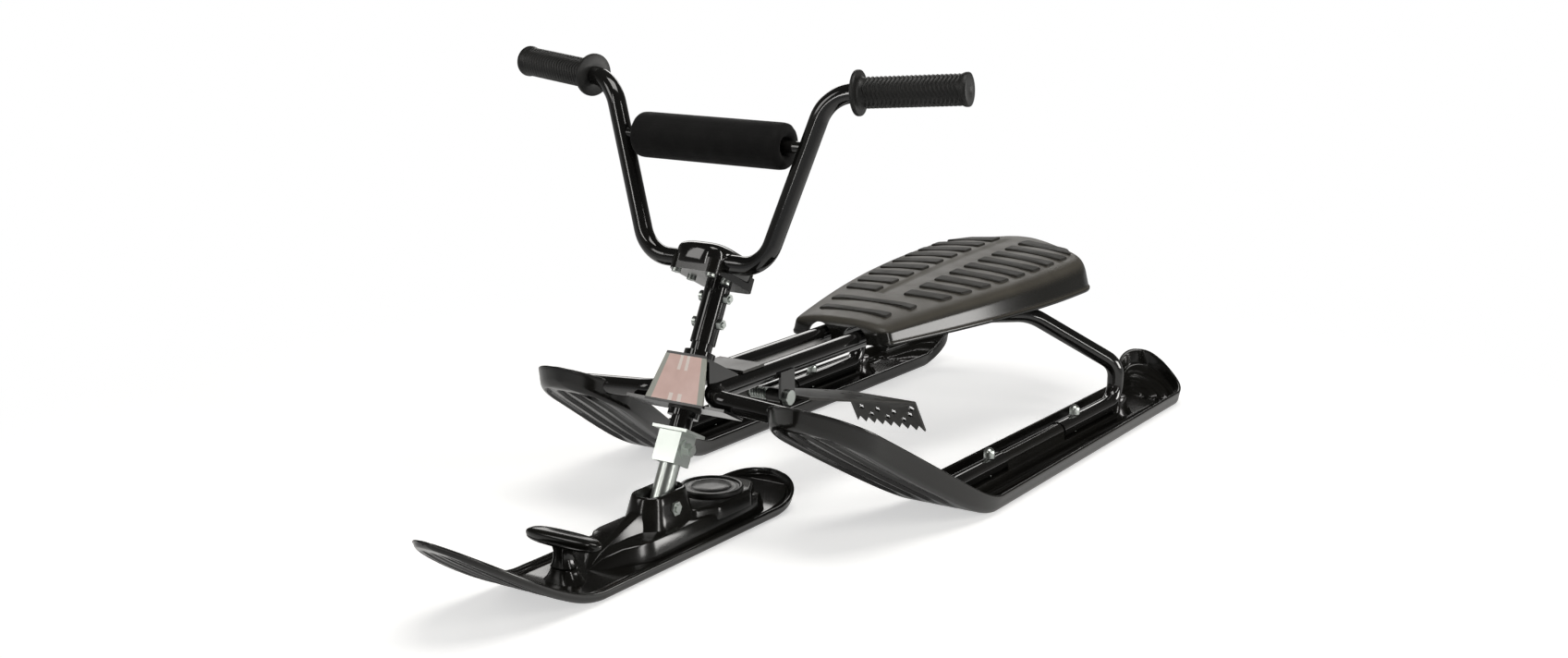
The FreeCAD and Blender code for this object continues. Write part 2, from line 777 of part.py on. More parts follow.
head_bracket()
sheet_piece(
    "head_shield",
    "YZ_Plane",
    [
        ("-shield_bottom_half_width", ""),
        ("shield_bottom_half_width", ""),
        ("shield_top_half_width", "shield_rise"),
        ("-shield_top_half_width", "shield_rise"),
    ],
    "shield_sheet",
    in_steering(S.bracket_front, 0, S.bracket_bottom_up),
)
sheet_piece(
    "head_gusset",
    "XY_Plane",
    [
        ("", "-spine_y - tube_radius / 2"),
        ("gusset_length", "-spine_y - tube_radius / 2"),
        ("gusset_length", "spine_y + tube_radius / 2"),
        ("", "spine_y + tube_radius / 2"),
    ],
    "gusset_sheet",
    at(S.gusset_front_x - S.gusset_length, 0, S.spine_z + S.tube_radius),
)
sheet_piece(
    "spine_plate",
    "XY_Plane",
    [
        ("", "-spine_y + tube_radius"),
        ("spine_plate_length", "-spine_y + tube_radius"),
        ("spine_plate_length", "spine_y - tube_radius"),
        ("", "spine_y - tube_radius"),
    ],
    "spine_plate_sheet",
    at(S.spine_plate_front_x - S.spine_plate_length, 0, S.spine_z - S.spine_plate_sheet / 2),
)


# Steering column
def bush(label, up, turn):
    """Flanged bush in one plate of the head bracket."""
    inner = "column_radius + running_gap"
    outer = "column_radius + bush_wall"
    profile = [
        (inner, ""),
        ("bush_flange_radius", ""),
        ("bush_flange_radius", "bush_flange"),
        (outer, "bush_flange"),
        (outer, "bush_flange + bracket_sheet"),
        (inner, "bush_flange + bracket_sheet"),
    ]
    turned(label, profile, in_steering(0, 0, up, turn))


bush("upper_head_bush", S.bracket_top_up + S.bracket_sheet + S.bush_flange, Rotation(FORWARD, FULL_TURN / 2))
bush("lower_head_bush", S.bracket_bottom_up - S.bush_flange, Rotation())
collar_profile = [
    ("column_radius", ""),
    ("collar_radius", ""),
    ("collar_radius", "collar_height"),
    ("column_radius", "collar_height"),
]
UPPER_COLLAR = "bracket_top_up + bracket_sheet + bush_flange + fit_gap"
upper_collar_up = total(UPPER_COLLAR)
lower_collar_up = S.bracket_bottom_up - S.bush_flange - S.fit_gap - S.collar_height
turned("upper_column_collar", collar_profile, in_steering(0, 0, upper_collar_up))
turned("lower_column_collar", collar_profile, in_steering(0, 0, lower_collar_up))

STEM_OUTER = "column_radius + seat_gap + stem_wall"
STEM_LENGTH = "column_over_collar + stem_over_column - stem_over_collar"
COLUMN_LENGTH = UPPER_COLLAR + " + collar_height + column_over_collar - column_bottom_up"
STEM_BOLT_SHARES = (0.31, 0.69)
stem_bottom_up = upper_collar_up + S.collar_height + S.stem_over_collar
stem_top_up = stem_bottom_up + total(STEM_LENGTH)
stem_bolt_ups = [stem_bottom_up + total(STEM_LENGTH) * share for share in STEM_BOLT_SHARES]
bar_up = stem_top_up + S.bar_over_stem
bar_shoulder_up = bar_up + S.bar_shoulder_rise
bar_end_up = bar_up + S.bar_end_rise


def stem_drills(name):
    """Cross holes for the two stem bolts."""
    drills = []
    for index, up in enumerate(stem_bolt_ups):
        reach = total(STEM_OUTER) + S.overrun
        place = in_steering(0, -reach, up, ALONG_LEFT)
        height = "column_radius / 0.5 + seat_gap / 0.5 + stem_wall / 0.5 + overrun / 0.5"
        drills.append(cylinder(f"{name}_drill_{index}", "bolt_radius + seat_gap", height, place))
    return drills


column_body = cylinder(
    "column_body", "column_radius", COLUMN_LENGTH, in_steering(0, 0, S.column_bottom_up)
)
column_bore = cylinder(
    "column_bore",
    "column_radius - column_wall",
    COLUMN_LENGTH + " + overrun / 0.5",
    in_steering(0, 0, S.column_bottom_up - S.overrun),
)
carved("steering_column", column_body, [column_bore] + stem_drills("column"))
stem_body = cylinder("stem_body", STEM_OUTER, STEM_LENGTH, in_steering(0, 0, stem_bottom_up))
stem_bore = cylinder(
    "stem_bore",
    "column_radius + seat_gap",
    STEM_LENGTH + " + overrun / 0.5",
    in_steering(0, 0, stem_bottom_up - S.overrun),
)
carved("handlebar_stem", stem_body, [stem_bore] + stem_drills("stem"))


def stem_fasteners():
    """Two cross bolts through stem and column, each with its nut."""
    outer = total(STEM_OUTER)
    bolts = []
    nuts = []
    for up in stem_bolt_ups:
        length = 2 * outer + S.nut_height + S.stem_bolt_tail
        shank = round_bar(S.bolt_radius, length, in_steering(0, -outer, up, ALONG_LEFT))
        head_place = in_steering(0, -outer - S.bolt_head_height, up, ALONG_LEFT)
        head = round_bar(S.bolt_head_radius, S.bolt_head_height, head_place)
        bolts.append(shank.fuse(head))
        nut = hexagon(S.nut_radius, S.nut_height, in_steering(0, outer, up, ALONG_LEFT))
        nuts.append(nut.cut(shank))
    shaped("stem_bolts", Part.makeCompound(bolts))
    shaped("stem_nuts", Part.makeCompound(nuts))


stem_fasteners()


# Handlebar clamp
def clamp_screw_places():
    """Forward and left places of the four clamp screws."""
    for forward in (S.bar_forward - S.clamp_screw_reach, S.bar_forward + S.clamp_screw_reach):
        for side in SIDES.values():
            yield forward, side * S.clamp_screw_side


def clamp_half(label, low_up, high_up, crowned):
    """One half of the clamp, rounded at its corners, with the bar's groove."""
    low = Vector(-S.clamp_back, -S.clamp_half_width, low_up)
    high = Vector(S.clamp_front, S.clamp_half_width, high_up)
    shape = slab(low, high)
    uprights = [edge for edge in shape.Edges if abs(edge.tangentAt(edge.FirstParameter).z) > 0.5]
    shape = shape.makeFillet(S.clamp_corner_radius, uprights)
    if crowned:
        crown = [edge for edge in shape.Edges if edge.BoundBox.ZMin > high_up - S.clamp_split]
        shape = shape.makeFillet(S.clamp_crown_radius, crown)
    groove_place = at(S.bar_forward, -S.clamp_half_width - S.overrun, bar_up, ALONG_LEFT)
    groove = round_bar(S.bar_radius + S.seat_gap, 2 * (S.clamp_half_width + S.overrun), groove_place)
    socket = round_bar(total(STEM_OUTER) + S.seat_gap, stem_top_up + S.seat_gap, at())
    shape = shape.cut(groove.fuse(socket))
    for forward, left in clamp_screw_places():
        drill = round_bar(S.clamp_screw_radius, bar_up + S.clamp_cap_height / 2, at(forward, left, 0))
        shape = shape.cut(drill)
    shaped(label, shape, STEERING)


split_half = S.clamp_split / 2
clamp_half("clamp_base", bar_up - S.clamp_base_height, bar_up - split_half, False)
clamp_half("clamp_cap", bar_up + split_half, bar_up + S.clamp_cap_height, True)
screw_solids = []
for forward, left in clamp_screw_places():
    seat_up = bar_up - S.clamp_base_height
    head_place = at(forward, left, seat_up - S.clamp_screw_head_height)
    head = round_bar(S.clamp_screw_head_radius, S.clamp_screw_head_height, head_place)
    reach = S.clamp_base_height + S.clamp_cap_height / 2
    screw_solids.append(head.fuse(round_bar(S.clamp_screw_radius, reach, at(forward, left, seat_up))))
shaped("clamp_screws", Part.makeCompound(screw_solids), STEERING)


# Handlebar, crossbar, pad and grips
def bar_points():
    """Centre line of the bar on the steering axis, from right to left."""
    left_half = [
        Vector(S.bar_forward, S.bar_foot_half_width, bar_up),
        Vector(S.bar_shoulder_forward, S.bar_shoulder_half_width, bar_shoulder_up),
        Vector(S.bar_end_forward, S.bar_end_half_width, bar_end_up),
    ]
    return [Vector(p.x, -p.y, p.z) for p in reversed(left_half)] + left_half


BAR_BENDS = [
    S.bar_shoulder_bend_radius,
    S.bar_foot_bend_radius,
    S.bar_foot_bend_radius,
    S.bar_shoulder_bend_radius,
]
shaped("handlebar", tube_along(bar_points(), BAR_BENDS, S.bar_radius, S.bar_wall), STEERING)
CROSSBAR_RISE_SHARE = 0.693
crossbar_up = bar_up + S.bar_shoulder_rise * CROSSBAR_RISE_SHARE
crossbar_forward = S.bar_forward + (S.bar_shoulder_forward - S.bar_forward) * CROSSBAR_RISE_SHARE
crossbar_spread = (S.bar_shoulder_half_width - S.bar_foot_half_width) * CROSSBAR_RISE_SHARE
crossbar_half = S.bar_foot_half_width + crossbar_spread
crossbar_place = at(crossbar_forward, -crossbar_half, crossbar_up, ALONG_LEFT)
crossbar = round_bar(S.crossbar_radius, 2 * crossbar_half, crossbar_place)
shaped("crossbar", crossbar.cut(rod_along(bar_points(), BAR_BENDS, S.bar_radius)), STEERING)


def crossbar_pad():
    """Foam roll on the crossbar: swelled in the middle, drawn in at its round ends."""
    bore = S.crossbar_radius + S.seat_gap
    half = S.pad_half_length
    end_radius = S.pad_radius - S.pad_crown
    neck = end_radius - S.pad_end_round
    shoulder = half - S.pad_end_round
    cut_corner = S.pad_end_round * (1 - math.sqrt(0.5))
    low_shoulder = Vector(end_radius, 0, -shoulder)
    high_shoulder = Vector(end_radius, 0, shoulder)
    edges = [Part.Arc(low_shoulder, Vector(S.pad_radius, 0, 0), high_shoulder).toShape()]
    for end in (1, -1):
        outer = Vector(end_radius, 0, end * shoulder)
        middle = Vector(end_radius - cut_corner, 0, end * (half - cut_corner))
        inner = Vector(neck, 0, end * half)
        edges.append(Part.Arc(outer, middle, inner).toShape())
        edges.append(Part.makeLine(inner, Vector(bore, 0, end * half)))
    edges.append(Part.makeLine(Vector(bore, 0, -half), Vector(bore, 0, half)))
    profile = Part.Face(Part.Wire(Part.__sortEdges__(edges)))
    roll = profile.revolve(Vector(), UP, FULL_TURN)
    shaped("crossbar_pad", roll, in_steering(crossbar_forward, 0, crossbar_up, ALONG_LEFT))


crossbar_pad()


GRIP_LENGTH_SHARE = 0.842
grip_length = (S.bar_end_half_width - S.bar_shoulder_half_width) * GRIP_LENGTH_SHARE


def grip(side_name, side):
    """Ribbed rubber grip with an inner flange and a closed end."""
    bore = S.bar_radius + S.seat_gap
    count = int(S.grip_rib_count)
    first = 2 * S.grip_flange
    last = grip_length - S.grip_end_wall
    pitch = (last - first) / count
    outline = [Vector(bore, 0, 0), Vector(S.grip_flange_radius, 0, 0)]
    outline += [Vector(S.grip_flange_radius, 0, S.grip_flange), Vector(S.grip_radius, 0, S.grip_flange)]
    for index in range(count):
        swell = S.grip_swell * index / count
        crest = S.grip_radius + swell
        low = first + pitch * index
        outline += [Vector(crest, 0, low), Vector(crest - S.grip_rib_depth, 0, low)]
        outline += [Vector(crest - S.grip_rib_depth, 0, low + pitch / 3), Vector(crest, 0, low + pitch / 3)]
    outline += [Vector(S.grip_radius + S.grip_swell, 0, grip_length), Vector(0, 0, grip_length)]
    outline += [Vector(0, 0, last), Vector(bore, 0, last)]
    profile = Part.Face(Part.makePolygon(outline + outline[:1]))
    shoulder = Vector(S.bar_shoulder_forward, side * S.bar_shoulder_half_width, bar_shoulder_up)
    end = Vector(S.bar_end_forward, side * S.bar_end_half_width, bar_end_up)
    along = (end - shoulder).normalize()
    start = end - along * last
    place = STEERING.multiply(Placement(start, Rotation(UP, along)))
    shaped(side_name + "_grip", profile.revolve(Vector(), UP, FULL_TURN), place)


for side_name, side in SIDES.items():
    grip(side_name, side)


# Strut under the column
def strut_bracket():
    """Plated bracket under the column: a flange, a front face and two cheeks."""
    sheet_size = S.strut_bracket_sheet
    flange_up = S.column_bottom_up - sheet_size
    low_up = flange_up - S.strut_cheek_height
    half = S.strut_flange_half_width
    length = S.strut_flange_half_length
    gap = S.strut_radius + S.seat_gap
    reach = S.strut_cheek_half_length
    flange = slab(Vector(-length, -half, flange_up), Vector(length, half, S.column_bottom_up))
    face = slab(Vector(gap, -gap - sheet_size, low_up), Vector(gap + sheet_size, gap + sheet_size, flange_up))
    shape = flange.fuse(face)
    for side in SIDES.values():
        inner = gap if side > 0 else -gap - sheet_size
        cheek_high = Vector(gap + sheet_size, inner + sheet_size, flange_up)
        shape = shape.fuse(slab(Vector(-reach, inner, low_up), cheek_high))
    bolt_up = flange_up - S.strut_bolt_drop
    drill = round_bar(S.strut_bolt_radius + S.seat_gap, 2 * half, at(0, -half, bolt_up, ALONG_LEFT))
    shaped("strut_bracket", shape.cut(drill).removeSplitter(), STEERING)
    return bolt_up


strut_bolt_up = strut_bracket()
STRUT_TOP = "column_bottom_up - strut_bracket_sheet"
strut_body = cylinder(
    "strut_body", "strut_radius", STRUT_TOP + " - strut_bottom_up", in_steering(0, 0, S.strut_bottom_up)
)
strut_bore = cylinder(
    "strut_bore",
    "strut_radius - strut_wall",
    STRUT_TOP + " - strut_bottom_up + overrun / 0.5",
    in_steering(0, 0, S.strut_bottom_up - S.overrun),
)
strut_drill_place = in_steering(0, -S.strut_radius - S.overrun, strut_bolt_up, ALONG_LEFT)
strut_drill = cylinder(
    "strut_drill", "strut_bolt_radius + seat_gap", "strut_radius / 0.5 + overrun / 0.5", strut_drill_place
)
pivot_drill_place = in_steering(0, -S.strut_radius - S.overrun, S.ski_pivot_up, ALONG_LEFT)
pivot_drill = cylinder(
    "pivot_drill", "ski_pivot_radius + running_gap", "strut_radius / 0.5 + overrun / 0.5", pivot_drill_place
)
carved("ski_strut", strut_body, [strut_bore, strut_drill, pivot_drill])


def strut_fasteners():
    """Cross bolt of the strut bracket with its washers and nut."""
    outer = S.strut_radius + S.seat_gap + S.strut_bracket_sheet
    reach = outer + S.strut_washer
    length = 2 * reach + S.strut_nut_height + S.stem_bolt_tail
    shank = round_bar(S.strut_bolt_radius, length, in_steering(0, -reach, strut_bolt_up, ALONG_LEFT))
    head_place = in_steering(0, -reach - S.bolt_head_height, strut_bolt_up, ALONG_LEFT)
    head = hexagon(S.strut_nut_radius, S.bolt_head_height, head_place)
    shaped("strut_bolt", shank.fuse(head))
    washers = []
    for start in (-reach, outer):
        place = in_steering(0, start, strut_bolt_up, ALONG_LEFT)
        ring = round_bar(S.strut_washer_radius, S.strut_washer, place)
        washers.append(ring.cut(shank))
    shaped("strut_washers", Part.makeCompound(washers))
    nut = hexagon(S.strut_nut_radius, S.strut_nut_height, in_steering(0, reach, strut_bolt_up, ALONG_LEFT))
    shaped("strut_nut", nut.cut(shank))


strut_fasteners()


# Front ski with its tower and reel housing
PIVOT = in_steering(0, 0, S.ski_pivot_up).Base


def front_ski():
    """Front ski: a shallow shell, a pedestal, the strut's tower, the reel pocket and the handle's dock."""
    ski = SimpleNamespace(
        nose_x=S.front_nose_x, bend_x=S.front_bend_x, tail_bend_x=S.front_tail_bend_x, tail_x=S.front_tail_x,
        centre_y=0, nose_centre_y=0, rear_centre_y=0, tail_centre_y=0, width=S.front_width,
        nose_width=S.front_nose_width, rear_width=S.front_rear_width,
        nose_rise=S.front_nose_rise, tail_rise=S.front_tail_rise, tail_tilt=0,
        nose_softness=S.front_nose_softness, tail_softness=S.front_tail_softness,
        nose_round=S.front_nose_round, tail_round=S.front_tail_round, wall_height=S.front_wall_height,
        nose_wall_height=S.front_wall_height, tail_wall_height=S.front_wall_height,
        ramp_swell=0, wall=S.front_wall, floor=S.front_floor,
        draft=S.front_draft, chamfer=S.front_chamfer,
    )
    base_z = S.front_floor / 2
    middle = (S.pedestal_front_x + S.pedestal_rear_x) / 2
    length = S.pedestal_front_x - S.pedestal_rear_x
    slope = S.pedestal_half_width - S.pedestal_top_half_width
    pedestal_rings = [
        stadium(length, S.pedestal_half_width, middle, base_z),
        stadium(length - 2 * slope, S.pedestal_top_half_width, middle, S.pedestal_z),
    ]
    tower_rings = [
        stadium(S.tower_length, S.tower_half_width, PIVOT.x, S.pedestal_z - base_z),
        stadium(S.tower_top_length, S.tower_top_half_width, PIVOT.x, S.tower_z),
    ]
    housing_z = S.reel_top_z - S.reel_cover
    housing = round_bar(S.reel_radius + S.reel_wall, housing_z - base_z, at(S.reel_x, 0, base_z))
    dock = round_bar(S.dock_radius, S.dock_z - base_z, at(S.handle_x, 0, base_z))
    solids = [lofted(pedestal_rings), lofted(tower_rings), housing, dock]
    shape = ski_shell(ski).fuse(solids)
    slot_half = S.strut_radius + S.fit_gap
    slot_low = Vector(PIVOT.x - S.tower_slot_length / 2, -slot_half, S.tower_slot_floor_z)
    slot_high = Vector(PIVOT.x + S.tower_slot_length / 2, slot_half, S.tower_z + S.overrun)
    pocket = round_bar(S.reel_radius - S.reel_wall, S.reel_top_z, at(S.reel_x, 0, S.reel_floor_z))
    reach = S.tower_half_width + S.ski_pivot_head_height
    pivot_place = at(PIVOT.x, -reach, PIVOT.z, ALONG_LEFT)
    pivot_hole = round_bar(S.ski_pivot_radius + S.seat_gap, 2 * reach, pivot_place)
    face_x = S.pedestal_front_x - S.eyelet_seat_depth
    bore_place = at(S.reel_x, 0, S.cord_bore_z, ALONG_FORWARD)
    bore = round_bar(S.cord_bore_radius + S.eyelet_wall, face_x - S.reel_x, bore_place)
    eyelet_seat = round_bar(
        S.eyelet_flange_radius + S.seat_gap, S.overrun, at(face_x, 0, S.cord_bore_z, ALONG_FORWARD)
    )
    peg_place = at(S.handle_x, 0, S.handle_peg_bottom_z - S.fit_gap)
    peg_hole = round_bar(S.handle_peg_radius + S.fit_gap, S.dock_z, peg_place)
    seats = []
    for side in SIDES.values():
        start = side * S.tower_top_half_width
        turn = ALONG_LEFT if side > 0 else Rotation(FORWARD, QUARTER_TURN)
        seat_place = at(PIVOT.x, start, PIVOT.z, turn)
        seats.append(round_bar(S.ski_pivot_boss_radius, S.tower_half_width, seat_place))
    shape = shape.cut([slab(slot_low, slot_high), pocket, pivot_hole, bore, eyelet_seat, peg_hole] + seats)
    shaped("front_ski", shape.removeSplitter())


front_ski()


def ski_pivot():
    """Bolt that the strut swings on, with its nut, seated in the tower's sides."""
    half = S.tower_top_half_width
    length = 2 * half + S.nut_height + S.stem_bolt_tail
    shank = round_bar(S.ski_pivot_radius, length, at(PIVOT.x, -half, PIVOT.z, ALONG_LEFT))
    head_place = at(PIVOT.x, -half - S.ski_pivot_head_height, PIVOT.z, ALONG_LEFT)
    head = hexagon(S.ski_pivot_head_radius, S.ski_pivot_head_height, head_place)
    shaped("ski_pivot_bolt", shank.fuse(head))
    nut = hexagon(S.ski_pivot_head_radius, S.nut_height, at(PIVOT.x, half, PIVOT.z, ALONG_LEFT))
    shaped("ski_pivot_nut", nut.cut(shank))


ski_pivot()


# Tow reel and handle
turned(
    "reel_cover",
    [
        ("", ""),
        ("reel_radius", ""),
        ("reel_radius", "reel_cover + reel_ring_rise"),
        ("reel_radius - reel_ring", "reel_cover + reel_ring_rise"),
        ("reel_radius - reel_ring", "reel_cover"),
        ("", "reel_cover"),
    ],
    at(S.reel_x, 0, S.reel_top_z - S.reel_cover),
)
AXLE_HEIGHT = "reel_top_z - reel_cover - reel_floor_z"
keep(cylinder("reel_axle", "reel_axle_radius", AXLE_HEIGHT, at(S.reel_x, 0, S.reel_floor_z)), "reel_axle")
turned(
    "reel_spool",
    [
        ("reel_axle_radius + running_gap", ""),
        ("spool_radius", ""),
        ("spool_radius", "spool_flange"),
        ("spool_drum_radius", "spool_flange"),
        ("spool_drum_radius", "spool_height - spool_flange"),
        ("spool_radius", "spool_height - spool_flange"),
        ("spool_radius", "spool_height"),
        ("reel_axle_radius + running_gap", "spool_height"),
    ],
    at(S.reel_x, 0, S.reel_floor_z + S.fit_gap),
)


def reel_spring():
    """Flat coil spring on the axle: half circles whose radius grows by half a pitch each."""
    start = S.reel_axle_radius + S.fit_gap
    edges = {"inner": [], "outer": []}
    for skin, offset in (("inner", 0.0), ("outer", S.reel_spring_strip)):
        radius = start + offset
        middle = 0.0
        for half_turn in range(2 * int(S.reel_spring_turns)):
            direction = 1 if half_turn % 2 == 0 else -1
            begin = Vector(middle + direction * radius, 0, 0)
            top = Vector(middle, direction * radius, 0)
            finish = Vector(middle - direction * radius, 0, 0)
            edges[skin].append(Part.Arc(begin, top, finish).toShape())
            radius += S.reel_spring_pitch / 4
            middle += direction * S.reel_spring_pitch / 4
    inner = edges["inner"]
    outer = edges["outer"]
    caps = [
        Part.makeLine(inner[0].Vertexes[0].Point, outer[0].Vertexes[0].Point),
        Part.makeLine(inner[-1].Vertexes[-1].Point, outer[-1].Vertexes[-1].Point),
    ]
    profile = Part.Face(Part.Wire(Part.__sortEdges__(inner + outer + caps)))
    up = S.reel_floor_z + S.spool_height + 2 * S.fit_gap
    shaped("reel_spring", profile.extrude(UP * S.reel_spring_height), at(S.reel_x, 0, up))


reel_spring()
turned(
    "cord_eyelet",
    [
        ("cord_bore_radius", ""),
        ("cord_bore_radius + eyelet_wall", ""),
        ("cord_bore_radius + eyelet_wall", "eyelet_barrel"),
        ("eyelet_flange_radius", "eyelet_barrel"),
        ("eyelet_flange_radius", "eyelet_barrel + eyelet_flange"),
        ("cord_bore_radius", "eyelet_barrel + eyelet_flange"),
    ],
    at(S.pedestal_front_x - S.eyelet_seat_depth - S.eyelet_barrel, 0, S.cord_bore_z, ALONG_FORWARD),
)


def tow_handle():
    """T handle whose peg stands in the ski's dock."""
    bar_place = at(S.handle_x, -S.handle_half_length, S.handle_z, ALONG_LEFT)
    bar = round_bar(S.handle_radius, 2 * S.handle_half_length, bar_place)
    rims = [edge for edge in bar.Edges if edge.Closed]
    bar = bar.makeFillet(S.handle_radius / 2, rims)
    neck_place = at(S.handle_x, 0, S.handle_neck_bottom_z)
    neck = round_bar(S.handle_neck_radius, S.handle_z - S.handle_neck_bottom_z, neck_place)
    peg_place = at(S.handle_x, 0, S.handle_peg_bottom_z)
    peg = round_bar(S.handle_peg_radius, S.handle_z - S.handle_peg_bottom_z, peg_place)
    shaped("tow_handle", bar.fuse([neck, peg]).removeSplitter())


tow_handle()


# Seat
SEAT_FRONT_SHARES = (0.0, 0.4, 0.7, 0.9, 0.985)
SEAT_REAR_SHARES = (0.0, 0.3, 0.55, 0.75, 0.9, 0.975)
SEAT_RUN_SHARES = (0.15, 0.35, 0.55, 0.75)
SEAT_ROUND_POWER = 2.6
SEAT_FLAT_SHARE = 0.5
SEAT_RISE_POWER = 1.7


def seat_stations():
    """Places along the seat where its section is set, from front to rear."""
    front_start = S.seat_front_x - S.seat_front_round
    rear_start = S.seat_rear_x + S.seat_rear_round
    front = [front_start + S.seat_front_round * share for share in reversed(SEAT_FRONT_SHARES)]
    run = [front_start + (rear_start - front_start) * share for share in SEAT_RUN_SHARES]
    rear = [rear_start - S.seat_rear_round * share for share in SEAT_REAR_SHARES]
    return front + run + rear


def seat_top(x):
    """Height of the seat's top along its length."""
    back = (S.seat_front_x - x) / (S.seat_front_x - S.seat_rear_x)
    return S.seat_front_top_z + (S.seat_top_z - S.seat_front_top_z) * (1 - (1 - back) ** SEAT_RISE_POWER)


def seat_half(x):
    """Half the seat's width at its lip."""
    back = clamp_share((S.seat_front_x - x) / (S.seat_front_x - S.seat_widest_x))
    half = S.seat_front_half_width
    half += (S.seat_half_width - S.seat_front_half_width) * math.sin(back * math.pi / 2)
    half *= end_round(x - S.seat_front_x + S.seat_front_round, S.seat_front_round, SEAT_ROUND_POWER * 2)
    half *= end_round(S.seat_rear_x + S.seat_rear_round - x, S.seat_rear_round, SEAT_ROUND_POWER)
    return half


def seat_crown(x):
    """Left half of the seat's top at one station: the shoulder's start and the flat's edge."""
    half = seat_half(x)
    shoulder_y = half - min(S.seat_draft, half / 3) - min(S.seat_shoulder, half / 3)
    flat_y = min(half * SEAT_FLAT_SHARE, shoulder_y / 2)
    high = seat_top(x)
    back = clamp_share((S.seat_front_x - x) / (S.seat_front_x - S.seat_widest_x))
    return [(shoulder_y, high - eased(S.seat_front_crown, S.seat_crown, back)), (flat_y, high)]


def seat_section(x, is_end):
    """Section of the seat: a hood with drafted sides and bevelled shoulders, open below."""
    half = seat_half(x)
    high = seat_top(x)
    lip = S.seat_lip_z
    wall = S.seat_wall
    draft = min(S.seat_draft, half / 3)
    crown = seat_crown(x)
    side_top = crown[0][1] - min(S.seat_shoulder, half / 3)
    outer = [(half, lip), (half - draft, side_top)] + crown
    inner = [(half - wall, lip), (half - draft - wall, side_top)]
    inner += [(y - wall / 2, z - wall) for y, z in crown]
    if is_end:
        depth = (high - lip) / (S.seat_wall * 2)
        inner = [(y, lip + (z - lip) / depth) for y, z in inner]
    points = [(-y, z) for y, z in outer] + list(reversed(outer))
    points += inner + [(-y, z) for y, z in reversed(inner)]
    return ring_at(x, points)


def seat_shell():
    """Moulded seat with bosses for its screws and a notch for the two tubes."""
    stations = seat_stations()
    ends = (stations[0], stations[-1])
    shape = lofted([seat_section(x, x in ends) for x in stations])
    for x, y, z in boss_places():
        boss = round_bar(S.boss_radius, seat_top(x) - S.seat_wall / 2 - z, at(x, y, z))
        shape = shape.fuse(boss)
    notch_half = S.seat_notch_half_width
    notch_low = Vector(S.seat_front_x - S.seat_notch_length, -notch_half, S.seat_lip_z - S.overrun)
    notch_high = Vector(S.seat_front_x + S.overrun, notch_half, S.seat_lip_z + S.seat_notch_depth)
    shape = shape.cut(slab(notch_low, notch_high))
    for x, y, z in boss_places():
        shape = shape.cut(round_bar(S.seat_screw_radius, S.seat_screw_reach, at(x, y, z)))
    shaped("seat_shell", shape.removeSplitter())


def front_strap_z():
    """Underside of the front strap, on top of the spine tubes."""
    return S.spine_z + S.tube_radius


def boss_places():
    """Where the seat's bosses stand on the two straps."""
    for side in SIDES.values():
        yield S.front_strap_x, side * S.front_boss_y, front_strap_z() + S.strap_sheet
        yield S.rear_strap_x, side * S.rear_boss_y, S.rear_strap_z + S.strap_sheet


def strap(label, x, z, half_length):
    """Flat cross strap, saddled on the tubes, drilled for the seat's screws."""
    low = Vector(x - S.strap_width / 2, -half_length, z)
    high = Vector(x + S.strap_width / 2, half_length, z + S.strap_sheet)
    shape = slab(low, high).cut(both_rods)
    for boss_x, y, _ in boss_places():
        if boss_x == x:
            drill_place = at(x, y, z - S.overrun / 2)
            drill = round_bar(S.seat_screw_radius + S.seat_gap, S.strap_sheet + S.overrun, drill_place)
            shape = shape.cut(drill)
    shaped(label, shape)


seat_shell()
strap("front_seat_strap", S.front_strap_x, front_strap_z(), S.front_strap_half_length)
strap("rear_seat_strap", S.rear_strap_x, S.rear_strap_z, S.rear_strap_half_length)
seat_screws = []
for x, y, z in boss_places():
    seat_z = z - S.strap_sheet
    head_place = at(x, y, seat_z - S.seat_screw_head_height)
    head = round_bar(S.seat_screw_head_radius, S.seat_screw_head_height, head_place)
    shank = round_bar(S.seat_screw_radius, S.strap_sheet + S.seat_screw_reach, at(x, y, seat_z))
    seat_screws.append(head.fuse(shank))
shaped("seat_screws", Part.makeCompound(seat_screws))


# Seat treads
def tread_outline(front_x, length, inner_y, outer_y, sweep):
    """Plan of one tread pad, swept back towards its outer end, with cut corners."""
    corner = S.tread_corner
    side = 1 if outer_y > inner_y else -1
    corners = [
        (front_x - corner, inner_y),
        (front_x, inner_y + side * corner),
        (front_x - sweep, outer_y - side * corner),
        (front_x - sweep - corner, outer_y),
        (front_x - sweep - length + corner, outer_y),
        (front_x - sweep - length, outer_y - side * corner),
        (front_x - length, inner_y + side * corner),
        (front_x - length + corner, inner_y),
    ]
    points = [Vector(x, y, 0) for x, y in corners]
    return Part.Face(Part.makePolygon(points + points[:1]))


def tread_pitch():
    """Step between the rows of pads, which run to a margin before the seat's rear."""
    last_x = S.seat_rear_x + S.tread_rear_margin + S.tread_length + S.tread_sweep
    return (S.tread_first_x - last_x) / (S.tread_rows - 1)


def tread_plans():
    """Two full-width bars at the front, then rows of pads beside the middle channel."""
    for index in range(2):
        x = S.bar_tread_front_x - S.bar_tread_pitch * index
        reach = seat_half(x - S.bar_tread_length) - S.tread_edge_margin
        yield tread_outline(x, S.bar_tread_length, -reach, reach, 0)
    for row in range(int(S.tread_rows)):
        x = S.tread_first_x - tread_pitch() * row
        reach = seat_half(x - S.tread_length - S.tread_sweep) - S.tread_edge_margin
        for side in SIDES.values():
            inner = side * S.tread_channel_half_width
            yield tread_outline(x, S.tread_length, inner, side * reach, S.tread_sweep)


